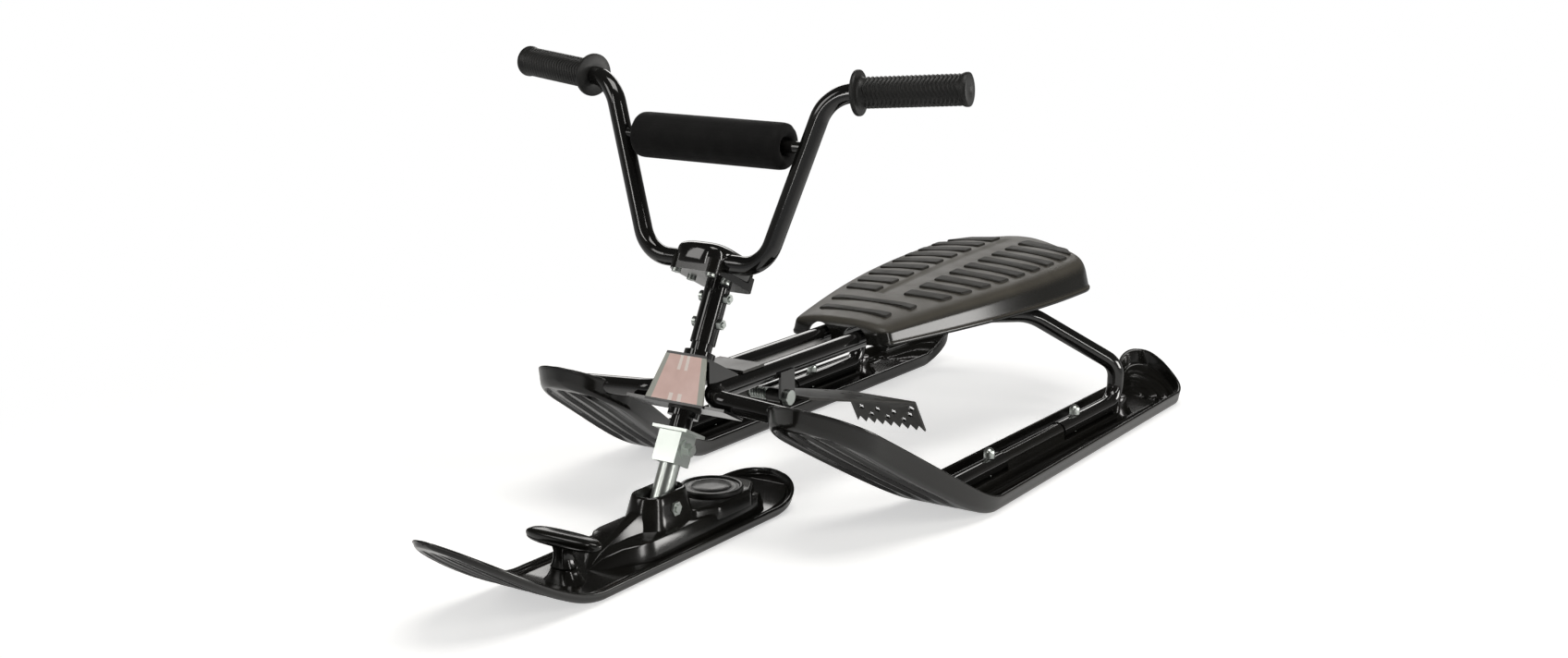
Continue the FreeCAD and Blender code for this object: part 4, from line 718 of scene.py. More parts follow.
def oval(
    x: float, y: float, z: float, half_x: float, half_y: float, power: float = 2.0, count: int = 72
) -> np.ndarray:
    """Outline of a circle, an ellipse or a fuller oval at a height.

    Args:
        x: its middle.
        y: its middle.
        z: its height.
        half_x: half of its size along X.
        half_y: half of its size along Y.
        power: two for an ellipse, more for a fuller one.
        count: how many points.

    Returns:
        The points.
    """
    points = []
    for index in range(count):
        angle = math.tau * index / count
        across, along = (fuller(part, power) for part in (math.cos(angle), math.sin(angle)))
        points.append((x + half_x * across, y + half_y * along, z))
    return np.array(points)


def turned(
    name: str, profile: Sequence[Numbers], count: int, sharp_degrees: float = SHARP_DEGREES, x: float = 0.0
) -> Mesh:
    """A skin turned about an upright axis at a place, through rows of radius and height."""
    rings = [oval(x, 0.0, z, radius, radius, count=count) for radius, z in profile]
    return lofted(name, rings, sharp_degrees)


def rounded_plan(corners: Sequence[Pair], radius: float, steps: int) -> list[Pair]:
    """Round the corners of a plan.

    Args:
        corners: the corners in order.
        radius: how far from a corner the round starts.
        steps: points on each round.

    Returns:
        The rounded outline.
    """
    outline = []
    for index, corner in enumerate(corners):
        here = Vector(corner)
        before = (Vector(corners[index - 1]) - here).normalized() * radius
        after = (Vector(corners[(index + 1) % len(corners)]) - here).normalized() * radius
        for share in np.linspace(0.0, 1.0, steps):
            point = here + before * (1 - share) ** 2 + after * share**2
            outline.append((point.x, point.y))
    return outline


@dataclass(frozen=True)
class SteeringAxis:
    """The raked column: forward, left and up along it, into the sled's frame."""

    ground_x: float = 278.0
    rake_degrees: float = 27.0

    def point(self, forward: float, left: float, up: float) -> Vector:
        """Turn a place on the steering into the sled's frame.

        Args:
            forward: distance ahead of the axis.
            left: distance to its left.
            up: distance up along it.

        Returns:
            The point, in millimetres.
        """
        tilt = math.radians(self.rake_degrees)
        x = self.ground_x + forward * math.cos(tilt) - up * math.sin(tilt)
        return Vector((x, left, forward * math.sin(tilt) + up * math.cos(tilt)))


AXIS = SteeringAxis()


# Geometry Nodes


class Recipe(NodeGraph):
    """A Geometry Nodes tree with named inputs, baked into a plain mesh."""

    def __init__(self, name: str, sizes: dict[str, float]) -> None:
        """Start a tree.

        Args:
            name: the tree's name.
            sizes: its named inputs and their values, in metres, counts or radians.
        """
        self.tree = bpy.data.node_groups.new(name, "GeometryNodeTree")
        self.sizes = sizes
        self.sockets = {}
        for label, value in sizes.items():
            kind = "NodeSocketInt" if isinstance(value, int) else "NodeSocketFloat"
            self.sockets[label] = self.tree.interface.new_socket(label, in_out="INPUT", socket_type=kind)
        self.tree.interface.new_socket("Geometry", in_out="OUTPUT", socket_type="NodeSocketGeometry")
        self.entry = self.tree.nodes.new("NodeGroupInput")
        self.exit = self.tree.nodes.new("NodeGroupOutput")

    def size(self, label: str) -> Socket:
        """Output socket of a named input."""
        return self.entry.outputs[label]

    def vector(self, x: Any = 0.0, y: Any = 0.0, z: Any = 0.0) -> Socket:
        """A vector from three numbers."""
        return self.add("ShaderNodeCombineXYZ", X=x, Y=y, Z=z).outputs[0]

    def row(self, copied: Socket, count: Socket, start: Socket, step: Socket, scale: Triple) -> Socket:
        """Copies of a mesh in a row.

        Args:
            copied: the mesh.
            count: how many copies.
            start: place of the first.
            step: from one to the next.
            scale: scale of each copy.

        Returns:
            The copies, as instances.
        """
        line = self.add("GeometryNodeMeshLine", Count=count, Start_Location=start, Offset=step)
        points = line.outputs["Mesh"]
        copies = self.add("GeometryNodeInstanceOnPoints", Points=points, Instance=copied, Scale=scale)
        return copies.outputs["Instances"]

    def bake(self, name: str, geometry: Socket, finish: Finish) -> Mesh:
        """End the tree, run it and keep its result as a plain mesh.

        Args:
            name: the mesh's name.
            geometry: the instances or mesh to keep.
            finish: the finish that it takes.

        Returns:
            The mesh, in the tree's own frame.
        """
        real = self.add("GeometryNodeRealizeInstances", Geometry=geometry)
        dressed = self.add("GeometryNodeSetMaterial", Geometry=real.outputs[0], Material=finish.material())
        self.feed(self.exit.inputs[0], dressed.outputs[0])
        holder = piece_from(name + "_recipe", bpy.data.meshes.new(name + "_seed"))
        modifier = holder.modifiers.new("recipe", "NODES")
        modifier.node_group = self.tree
        for label, value in self.sizes.items():
            modifier[self.sockets[label].identifier] = value
        mesh = applied(holder)
        mesh.name = name
        return mesh


# Skis


@dataclass(frozen=True)
class SoleRelief:
    """Pockets between thin ribs under a ski's nose, and two grooves under its run."""

    ribs: Numbers
    rib: Pair
    pocket_depth: float
    pocket_start: Pair
    pocket_stop: Pair
    groove_half: float
    run_middle: float
    run_half: float
    pocket_edge: Pair = (0.9, 0.08)
    groove_shares: Pair = (-0.36, 0.36)
    groove_depth: float = 1.6
    groove_slope: float = 1.5
    run_fade: float = 30.0

    def heights(self, x: float, bend_x: float, nose_x: float, across: np.ndarray, half: float) -> np.ndarray:
        """Heights above the sole's lowest line.

        Args:
            x: the station.
            bend_x: where the nose starts to rise.
            nose_x: where the nose ends.
            across: places from the centre line.
            half: half width of the ski.

        Returns:
            A height for each place.
        """
        share = across / max(half, LEAST_HALF)
        ribs = np.zeros_like(across)
        for place in self.ribs:
            ribs = np.maximum(ribs, bell((share - place) * half, *self.rib))
        edge = eased((self.pocket_edge[0] - np.abs(share)) / self.pocket_edge[1])
        climb = risen(x - bend_x, self.pocket_start) * risen(nose_x - x, self.pocket_stop)
        grooves = np.zeros_like(across)
        for place in self.groove_shares:
            groove = bell((share - place) * half, self.groove_half, self.groove_slope)
            grooves = np.maximum(grooves, self.groove_depth * groove)
        grooves = grooves * (1 - climb) * bell(x - self.run_middle, self.run_half, self.run_fade)
        return np.maximum(self.pocket_depth * (1 - ribs) * edge * climb, grooves)


@dataclass
class SkiShell:
    """A moulded ski: rounded sole, drafted walls, a beaded rim and a relief bed."""

    nose_x: float
    bend_x: float
    tail_bend_x: float
    tail_x: float
    centre_y: float
    nose_centre_y: float
    rear_centre_y: float
    tail_centre_y: float
    width: float
    nose_width: float
    rear_width: float
    nose_rise: float
    tail_rise: float
    tail_tilt: float
    nose_softness: float
    tail_softness: float
    nose_round: float
    tail_round: float
    wall_height: float
    nose_wall_height: float
    tail_wall_height: float
    ramp_swell: float
    wall: float
    floor: float
    draft: float
    corner: float
    relief: SoleRelief
    corner_share: float = 0.8
    corner_height_share: float = 0.6
    least_wall: float = 0.6
    wall_shares: Pair = (0.35, 0.7)
    fillet: float = 3.0
    bed_gap: float = 0.2
    corner_points: int = 7
    rim_points: int = 9
    fillet_points: int = 5
    sole_columns: int = 49
    bed_columns: int = 65
    run_stations: int = 150
    end_stations: int = 26

    def shares(self, x: float) -> Triple:
        """How far a station is up the nose, up the tail and along the run.

        Args:
            x: the station.

        Returns:
            Three shares between zero and one.
        """
        nose = clamped((x - self.bend_x) / (self.nose_x - self.bend_x))
        tail = clamped((self.tail_bend_x - x) / (self.tail_bend_x - self.tail_x))
        run = clamped((self.bend_x - x) / (self.bend_x - self.tail_bend_x))
        return float(nose), float(tail), float(run)

    def middle(self, x: float) -> float:
        """Centre line across the ski.

        Args:
            x: the station.

        Returns:
            The line's place across the sled.
        """
        nose, tail, run = self.shares(x)
        middle = between(self.centre_y, self.nose_centre_y, eased(nose))
        middle += (self.rear_centre_y - self.centre_y) * run
        return float(middle + (self.tail_centre_y - self.rear_centre_y) * eased(tail))

    def half(self, x: float, inset: float) -> float:
        """Half width of an outline that is drawn in.

        Args:
            x: the station.
            inset: how far the outline is drawn in.

        Returns:
            The half width.
        """
        nose, _, run = self.shares(x)
        half = (between(self.width, self.nose_width, nose) + (self.rear_width - self.width) * run) / 2
        nose_share = end_share(x - self.nose_x + self.nose_round, self.nose_round - inset)
        tail_share = end_share(self.tail_x + self.tail_round - x, self.tail_round - inset)
        return (half - inset) * nose_share * tail_share

    def low(self, x: float) -> float:
        """Height of the sole."""
        rise = self.nose_rise * ramp(max(0.0, x - self.bend_x), self.nose_x - self.bend_x, self.nose_softness)
        return float(rise + self.tail_rise * self.tail_lift(x))

    def tail_lift(self, x: float) -> float:
        """Share of the tail's rise at a station."""
        distance = max(0.0, self.tail_bend_x - x)
        return float(ramp(distance, self.tail_bend_x - self.tail_x, self.tail_softness))

    def high(self, x: float) -> float:
        """Height of the rim.

        Args:
            x: the station.

        Returns:
            The height.
        """
        nose, tail, _ = self.shares(x)
        height = between(self.wall_height, self.tail_wall_height, tail)
        height += (self.nose_wall_height - self.wall_height) * nose + self.ramp_swell * 4 * nose * (1 - nose)
        return self.low(x) + height

    def bed(self, x: float, across: np.ndarray) -> np.ndarray:
        """Height of the bed at a station, for places across the sled."""
        return np.full_like(across, self.low(x) + self.floor)

    def bed_places(self, reach: float, middle: float) -> np.ndarray:
        """Places across the bed, from the centre line, left to right."""
        return np.linspace(reach, -reach, self.bed_columns)

    def stations(self) -> list[float]:
        """Places along the ski, close together where it ends."""
        nose, tail = (self.nose_x, self.nose_round), (self.tail_x, self.tail_round)
        places = spread(nose, tail, self.end_stations, self.run_stations)
        for end in (self.nose_x - self.wall, self.tail_x + self.wall):
            places += [end - POINT, end + POINT]
        return sorted(set(places), reverse=True)

    def ring(self, x: float) -> np.ndarray:
        """One closed section of the ski.

        Args:
            x: the station.

        Returns:
            Points in the sled's frame.
        """
        half = max(self.half(x, 0.0), POINT)
        inner = self.half(x, self.wall)
        ends = min(self.nose_x - x, x - self.tail_x)
        rim = self.wall / 2
        high = self.high(x) - edge_drop(ends, rim)
        wall_top = high - rim
        low = min(self.low(x) + edge_drop(ends, self.corner * self.corner_share), wall_top - self.least_wall)
        foot = max(half - self.draft, half * self.corner_share)
        corner = min(self.corner, foot * self.corner_share, (high - low) * self.corner_height_share)
        reach = foot - corner
        flat = np.linspace(-reach, reach, self.sole_columns)
        points = list(zip(flat, low + self.relief.heights(x, self.bend_x, self.nose_x, flat, half)))
        side = arc((reach, low + corner), (corner, corner), -90, 0, self.corner_points)[1:]
        for share in self.wall_shares:
            side.append((between(foot, half, share), between(low + corner, wall_top, share)))
        middle = self.middle(x)
        if inner > POINT / 2:
            edge_y = max(inner - self.draft, 0.0)
            edge_z = float(min(self.low(x) + self.floor, high - self.bed_gap))
            across = self.bed_places(max(inner - self.draft - self.fillet, 0.0), middle)
            bed = np.minimum(self.bed(x, across + middle), high)
            side += arc(((half + inner) / 2, wall_top), ((half - inner) / 2, rim), 0, 180, self.rim_points)
            centre = (edge_y - self.fillet, edge_z + self.fillet)
            drops = arc(centre, (self.fillet, self.fillet), 0, -90, self.fillet_points)[:-1]
            side += [(y, min(z, wall_top)) for y, z in drops]
        else:
            across = self.bed_places(max(inner - self.draft, 0.0), middle)
            bed = np.full_like(across, high)
            side += arc((0.0, wall_top), (half, rim), 0, 90, self.rim_points)
            side += [(0.0, high)] * (self.fillet_points - 1)
        points += side + list(zip(across, bed)) + [(-y, z) for y, z in reversed(side)]
        slope = self.tail_tilt * self.tail_lift(x) / (self.rear_width / 2)
        return np.array([(x, middle + y, z - slope * y) for y, z in points])

    def mesh(self, name: str) -> Mesh:
        """The whole ski as a mesh."""
        return lofted(name, [self.ring(x) for x in self.stations()], SKIN_DEGREES)


@dataclass
class RearSki(SkiShell):
    """A rear ski, with the tube's saddle, a heel collar, bed ribs and a ribbed ramp."""

    side: Side = Side.LEFT
    rail_y: float = 184.0
    saddle_top: float = 14.0
    saddle_middle_x: float = -232.0
    saddle_length: Pair = (206.0, 8.0)
    saddle_half: float = 11.0
    saddle_slope: float = 2.5
    saddle_steps: Numbers = (0.0, 0.8, 1.7, 2.5)
    heel_x: float = -420.0
    heel_rows: Rows = (
        (3.0, 29.0, 21.0), (7.0, 24.0, 18.0), (11.0, 20.5, 16.0), (17.0, 17.5, 14.6), (24.0, 16.0, 13.8),
        (29.0, 15.4, 13.4), (30.2, 14.8, 12.8), (30.8, 13.4, 11.4),
    )
    heel_power: float = 2.2
    bridge_ends: Pair = (-119.5, -260.5)
    bridge_top: float = 32.6
    bridge_half: float = 8.8
    bridge_flare: float = 1.5
    bridge_foot_z: float = 4.0
    bridge_points: int = 25
    bridge_stations: int = 5
    rib_height: float = 3.2
    rib_section: Pair = (1.2, 1.6)
    rib_run_x: float = -235.0
    rib_run: Pair = (250.0, 30.0)
    rib_offsets: Numbers = (-31.0, -23.0, 20.0, 28.0)
    rib_steps: Numbers = (-2.8, -2.0, -1.2, 0.0, 1.2, 2.0, 2.8)
    tail_rib_radii: Numbers = (30.0, 44.0, 58.0)
    tail_rib_start: float = 6.0
    tail_rib_centre: float = 22.0
    tail_rib_height: float = 2.2
    tail_rib_section: Pair = (1.0, 4.5)
    tail_rib_fade: Pair = (5.0, 12.0)
    bed_half: float = 50.0
    bed_marks: int = 41
    dense_spans: Rows = ((-441.0, -398.5, 1.5), (-574.0, -500.0, 2.0))
    least_step: float = 0.03

    def bed(self, x: float, across: np.ndarray) -> np.ndarray:
        """Saddle, ribs and tail arcs over the plain bed.

        Args:
            x: the station.
            across: places across the sled.

        Returns:
            A height for each place.
        """
        sign = self.side.value
        floor = self.low(x) + self.floor
        from_rail = across - sign * self.rail_y
        saddle = max(0.0, self.saddle_top - floor) * bell(from_rail, self.saddle_half, self.saddle_slope)
        relief = saddle * bell(x - self.saddle_middle_x, *self.saddle_length)
        run = bell(x - self.rib_run_x, *self.rib_run)
        for offset in self.rib_offsets:
            rib = bell(from_rail * sign - offset, *self.rib_section)
            relief = np.maximum(relief, self.rib_height * run * rib)
        if x < self.tail_bend_x + self.tail_rib_start:
            from_centre = x - (self.tail_bend_x + self.tail_rib_centre)
            distance = np.hypot(from_centre, across - self.middle(self.tail_x))
            inside = self.half(x, self.wall) - np.abs(across - self.middle(x))
            fade = risen(inside, self.tail_rib_fade)
            for radius in self.tail_rib_radii:
                rib = bell(distance - radius, *self.tail_rib_section)
                relief = np.maximum(relief, self.tail_rib_height * rib * fade)
        return floor + relief

    def bed_places(self, reach: float, middle: float) -> np.ndarray:
        """Places in line with the rail, close together where the relief is steep.

        Args:
            reach: half width of the bed.
            middle: its centre line.

        Returns:
            Places from the centre line.
        """
        marks = set(np.linspace(-self.bed_half, self.bed_half, self.bed_marks))
        for offset in self.rib_offsets:
            marks.update(offset + step for step in self.rib_steps)
        for edge in (-self.saddle_half, self.saddle_half):
            marks.update(edge + math.copysign(step, edge) for step in self.saddle_steps)
        sign = self.side.value
        places = np.array(sorted(sign * (self.rail_y + mark) - middle for mark in marks))
        return np.clip(places[::-1], -reach, reach)

    def stations(self) -> list[float]:
        """More places at the heel collar and on the tail."""
        near = [float(x) for span in self.dense_spans for x in np.arange(*span)]
        kept: list[float] = []
        for x in sorted(super().stations() + near, reverse=True):
            if not kept or kept[-1] - x > self.least_step:
                kept.append(x)
        return kept

    def collar(self) -> Mesh:
        """Flared stop behind the tube's heel."""
        y = self.side.value * self.rail_y
        rings = [oval(self.heel_x, y, *row, self.heel_power) for row in self.heel_rows]
        return lofted("heel_collar", rings, BLOCK_DEGREES)

    def bridge(self) -> Mesh:
        """Round-topped ridge in line with the tube, between its two ends."""
        y = self.side.value * self.rail_y
        radius, foot = self.bridge_half, self.bridge_half + self.bridge_flare
        top = arc((0.0, self.bridge_top - radius), (radius, radius), 0, 180, self.bridge_points)
        outline = [(foot, self.bridge_foot_z), *top, (-foot, self.bridge_foot_z)]
        stations = np.linspace(*self.bridge_ends, self.bridge_stations)
        rings = [[(x, y + across, z) for across, z in outline] for x in stations]
        return lofted("tube_bridge", rings, BLOCK_DEGREES)

    def build(self) -> Piece:
        """Make the ski with its collar and bridge a piece on the frame."""
        node = f"{self.side.label}_rear_ski"
        mesh = joined(node + "_moulding", [self.mesh("rear_shell"), self.collar(), self.bridge()])
        return placed(node + "_moulding", mesh, Body.FRAME, [GLOSS_PLASTIC], [node])


def rear_ski(side: Side) -> RearSki:
    """Sizes of one rear ski.

    Args:
        side: the rider's side.

    Returns:
        The ski, ready to build.
    """
    sign = side.value
    return RearSki(
        nose_x=234.0, bend_x=-24.0, tail_bend_x=-524.0, tail_x=-582.0, centre_y=sign * 186.5,
        nose_centre_y=sign * 144.0, rear_centre_y=sign * 181.0, tail_centre_y=sign * 158.0,
        width=99.0, nose_width=118.0, rear_width=88.0, nose_rise=136.0, tail_rise=30.0, tail_tilt=sign * 12.0,
        nose_softness=46.0, tail_softness=14.0, nose_round=56.0, tail_round=44.0,
        wall_height=19.0, nose_wall_height=22.0, tail_wall_height=22.0, ramp_swell=7.0,
        wall=4.0, floor=5.0, draft=2.0, corner=8.0, side=side,
        relief=SoleRelief(
            ribs=(-0.82, -0.42, -0.02, 0.38, 0.8), rib=(0.9, 1.4), pocket_depth=3.4,
            pocket_start=(30.0, 50.0), pocket_stop=(10.0, 12.0), groove_half=3.0, run_middle=-260.0,
            run_half=250.0,
        ),
    )


@dataclass
class FrontSki(SkiShell):
    """The front ski, with its pedestal, ridge, strut tower, reel housing and handle dock."""

    deck_step: float = 1.8
    deck_ends: Pair = (12.0, 4.0)
    deck_edge: Pair = (0.84, 0.04)
    pivot_x: float = 256.66
    tower_z: Pair = (22.0, 58.0)
    tower_foot: Pair = (44.0, 25.0)
    tower_top: Pair = (32.0, 18.0)
    tower_rows: Rows = (
        (19.0, 4.0), (24.0, 2.6), (28.0, 1.2), (33.0, 0.3), (40.0, 0.0), (48.0, 0.0), (55.6, 0.0),
        (57.2, -0.5), (58.0, -1.7),
    )
    slot: Pair = (27.6, 11.3)
    slot_rows: Rows = ((58.0, 3.2), (57.0, 2.2), (52.0, 0.4), (40.0, 0.0), (22.6, 0.0))
    block_foot: Pair = (3.0, 5.0)
    chamfer_shares: Pair = (0.5, 0.4)
    bevel_share: float = 0.3
    facet_degrees: float = 16.0
    pedestal_chamfer: float = 3.0
    pedestal_rows: Rows = (
        (368.0, 6.0, 3.0, 9.0), (356.0, 16.0, 10.0, 17.0), (340.0, 28.0, 22.0, 24.0),
        (318.0, 39.5, 34.5, 26.6), (306.0, 41.0, 36.8, 27.0), (140.0, 41.0, 36.8, 27.0),
        (124.0, 36.0, 31.0, 25.0), (108.0, 28.0, 22.0, 14.0), (100.0, 24.0, 18.0, 8.0),
    )
    ridge_chamfer: float = 1.6
    ridge_rows: Rows = (
        (364.0, 5.0, 2.0, 12.0), (352.0, 9.0, 3.4, 20.5), (296.0, 19.0, 7.0, 44.0), (280.0, 19.0, 7.0, 44.0)
    )
    housing_corners: Rows = ((236.0, 27.0), (206.0, 39.0), (150.0, 39.0), (118.0, 20.0))
    housing_rows: Rows = ((20.0, 0.0), (31.0, 1.4), (34.0, 2.6), (35.0, 4.4))
    housing_middle_x: float = 176.0
    housing_half: Pair = (60.0, 39.0)
    housing_round: float = 5.0
    housing_steps: int = 5
    housing_degrees: float = 24.0
    dock_x: float = 402.0
    dock_rows: Rows = (
        (4.0, 17.0, 25.0, 2.4), (8.0, 15.0, 21.0, 2.4), (12.0, 13.0, 17.0, 2.4), (17.0, 11.6, 14.0, 2.4),
        (20.2, 11.2, 13.0, 2.4), (21.0, 10.2, 12.0, 2.4), (21.0, 5.3, 5.3, 2.0), (8.0, 5.3, 5.3, 2.0),
    )

    def bed(self, x: float, across: np.ndarray) -> np.ndarray:
        """A shallow dish with a stepped deck inside its rim.

        Args:
            x: the station.
            across: places across the sled.

        Returns:
            A height for each place.
        """
        share = np.abs(across - self.middle(x)) / max(self.half(x, self.wall), LEAST_HALF)
        ends = risen(min(self.nose_x - x, x - self.tail_x), self.deck_ends)
        return self.low(x) + self.floor + self.deck_step * ends * (1 - risen(share, self.deck_edge))

    def tower(self) -> Mesh:
        """Cup for the strut, flared at its foot, with an open slot."""
        foot_z, top_z = self.tower_z
        rings = []
        for z, grow in self.tower_rows:
            share = clamped((z - foot_z) / (top_z - foot_z))
            ends = zip(self.tower_foot, self.tower_top)
            halves = [between(foot, top, share) + grow for foot, top in ends]
            rings.append(stadium(*halves, self.pivot_x, z))
        for z, grow in self.slot_rows:
            rings.append(stadium(*(half + grow for half in self.slot), self.pivot_x, z))
        return lofted("tower", rings, BLOCK_DEGREES)

    def faceted(self, name: str, sections: Rows, chamfer: float) -> Mesh:
        """A faceted body through sections along the ski.

        Args:
            name: the mesh's name.
            sections: rows of station, half width at the foot, half width at the top and top height.
            chamfer: size of the bevel along the top edges.

        Returns:
            The mesh.
        """
        rings = []
        for x, foot, top, high in sections:
            cut = min(
                chamfer, top * self.chamfer_shares[0], (high - self.block_foot[0]) * self.chamfer_shares[1]
            )
            bevel = cut * self.bevel_share
            half = [(foot, z) for z in self.block_foot]
            half += [(top, high - cut), (top - bevel, high - bevel), (top - cut, high)]
            rings.append([(x, y, z) for y, z in half + [(-y, z) for y, z in reversed(half)]])
        return lofted(name, rings, self.facet_degrees)

    def housing(self) -> Mesh:
        """Faceted block round the reel."""
        plan = list(self.housing_corners) + [(x, -y) for x, y in reversed(self.housing_corners)]
        middle, (length, width) = self.housing_middle_x, self.housing_half
        rings = []
        for z, inset in self.housing_rows:
            along, across = 1 - inset / length, 1 - inset / width
            scaled = [(middle + (x - middle) * along, y * across) for x, y in plan]
            rings.append([(x, y, z) for x, y in rounded_plan(scaled, self.housing_round, self.housing_steps)])
        return lofted("housing", rings, self.housing_degrees)

    def dock(self) -> Mesh:
        """Flared socket for the handle's peg."""
        rings = [oval(self.dock_x, 0.0, *row) for row in self.dock_rows]
        return lofted("dock", rings, BLOCK_DEGREES)

    def build(self) -> Piece:
        """Make the ski with all that is moulded on it one piece."""
        blocks = [
            self.mesh("front_shell"), self.faceted("pedestal", self.pedestal_rows, self.pedestal_chamfer),
            self.faceted("ridge", self.ridge_rows, self.ridge_chamfer),
            self.tower(), self.housing(), self.dock(),
        ]
        name = "front_ski_moulding"
        mesh = joined(name, blocks)
        return placed(name, mesh, Body.FRONT_SKI, [GLOSS_PLASTIC], ["front_ski"])


FRONT_SKI = FrontSki(
    nose_x=583.4, bend_x=404.0, tail_bend_x=122.0, tail_x=58.0,
    centre_y=0.0, nose_centre_y=0.0, rear_centre_y=0.0, tail_centre_y=0.0,
    width=110.0, nose_width=100.0, rear_width=106.0, nose_rise=93.0, tail_rise=18.0, tail_tilt=0.0,
    nose_softness=60.0, tail_softness=20.0, nose_round=92.0, tail_round=50.0,
    wall_height=12.0, nose_wall_height=6.5, tail_wall_height=12.0, ramp_swell=0.0,
    wall=4.0, floor=6.0, draft=1.5, corner=6.0, run_stations=110, end_stations=34,
    relief=SoleRelief(
        ribs=(-0.74, -0.37, 0.0, 0.37, 0.74), rib=(1.2, 2.0), pocket_depth=2.6, pocket_start=(10.0, 40.0),
        pocket_stop=(12.0, 16.0), groove_half=4.0, run_middle=262.0, run_half=120.0,
    ),
)


@dataclass
class ReelCover:
    """Round cover of the cord reel: a rounded ring round a bare, slightly domed disc."""

    centre_x: float = 168.0
    points: int = 96
    profile: Rows = (
        (POINT, 35.0), (33.0, 35.0), (33.0, 38.0), (32.7, 38.9), (32.0, 39.5), (31.0, 39.6), (30.0, 39.5),
        (29.4, 39.0), (29.0, 38.0), (28.4, 37.7), (27.4, 37.7), (26.8, 38.0), (22.0, 38.05), (21.6, 37.7),
        (21.0, 37.7), (20.6, 38.1), (8.0, 38.3), (POINT, 38.35),
    )

    def build(self) -> Piece:
        """Make the cover a piece on the front ski."""
        name = "reel_cover_disc"
        mesh = turned(name, self.profile, self.points, SKIN_DEGREES, self.centre_x)
        return placed(name, mesh, Body.FRONT_SKI, [REEL_DISC], ["reel_cover"])


@dataclass
class TowHandle:
    """Flat handle with tapered ends, on a flared and ribbed neck."""

    x: float = 402.0
    z: float = 48.0
    half_length: float = 44.0
    half_depth: float = 10.5
    half_height: float = 7.2
    stations: int = 61
    points: int = 72
    tip_share: float = 0.9999
    end_powers: Pair = (7.0, 2.4)
    taper_power: float = 2.4
    depth_taper: float = 0.3
    height_taper: float = 0.22
    section_power: float = 3.2
    groove: float = 0.9
    groove_below: float = 1.5
    groove_section: Pair = (0.5, 0.8)
    neck_power: float = 2.6
    neck_rows: Rows = (
        (9.0, 4.9, 4.9), (22.0, 4.9, 4.9), (22.0, 10.0, 12.5), (23.0, 10.4, 13.0), (27.0, 9.0, 10.6),
        (32.0, 8.2, 9.2), (38.0, 8.0, 9.0), (43.0, 8.4, 11.0), (47.0, 9.0, 14.0),
    )
    rib_low_z: float = 22.5
    rib_degrees: float = 34.0
    rib_section: Pair = (5.0, 6.0)
    rib_out: float = 1.1

    def paddle(self) -> Mesh:
        """The cross bar that the hand holds, with a parting groove."""
        rings = []
        angles = np.linspace(0.0, math.tau, self.points, endpoint=False)
        for share in np.sin(np.linspace(-math.pi / 2, math.pi / 2, self.stations)):
            end = (1 - min(abs(share), self.tip_share) ** self.end_powers[0]) ** (1 / self.end_powers[1])
            taper = abs(share) ** self.taper_power
            deep = self.half_depth * (1 - self.depth_taper * taper) * end
            high = self.half_height * (1 - self.height_taper * taper) * end
            ring = []
            for angle in angles:
                dx, dz = (fuller(part, self.section_power) for part in (math.cos(angle), math.sin(angle)))
                line = float(bell(dz * high + self.groove_below, *self.groove_section))
                cut = 1 - self.groove * line / self.half_depth
                ring.append((self.x + dx * deep * cut, share * self.half_length, self.z + dz * high))
            rings.append(ring)
        return lofted("paddle", rings)

    def neck(self) -> Mesh:
        """Neck that flares down to the dock, with two ribs in front and behind."""
        rings = []
        for z, deep, wide in self.neck_rows:
            ring = oval(self.x, 0.0, z, deep, wide, self.neck_power, self.points)
            if z > self.rib_low_z:
                for index in range(self.points):
                    angle = math.tau * index / self.points
                    from_middle = abs(math.degrees(math.remainder(angle, math.pi)))
                    rib = float(bell(from_middle - self.rib_degrees, *self.rib_section))
                    ring[index, 0] += math.copysign(self.rib_out * rib, math.cos(angle))
            rings.append(ring)
        return lofted("neck", rings)

    def build(self) -> Piece:
        """Make the handle a piece of its own body."""
        name = "tow_handle_moulding"
        mesh = joined(name, [self.paddle(), self.neck()])
        return placed(name, mesh, Body.HANDLE, [GLOSS_PLASTIC], ["tow_handle"])


# Seat


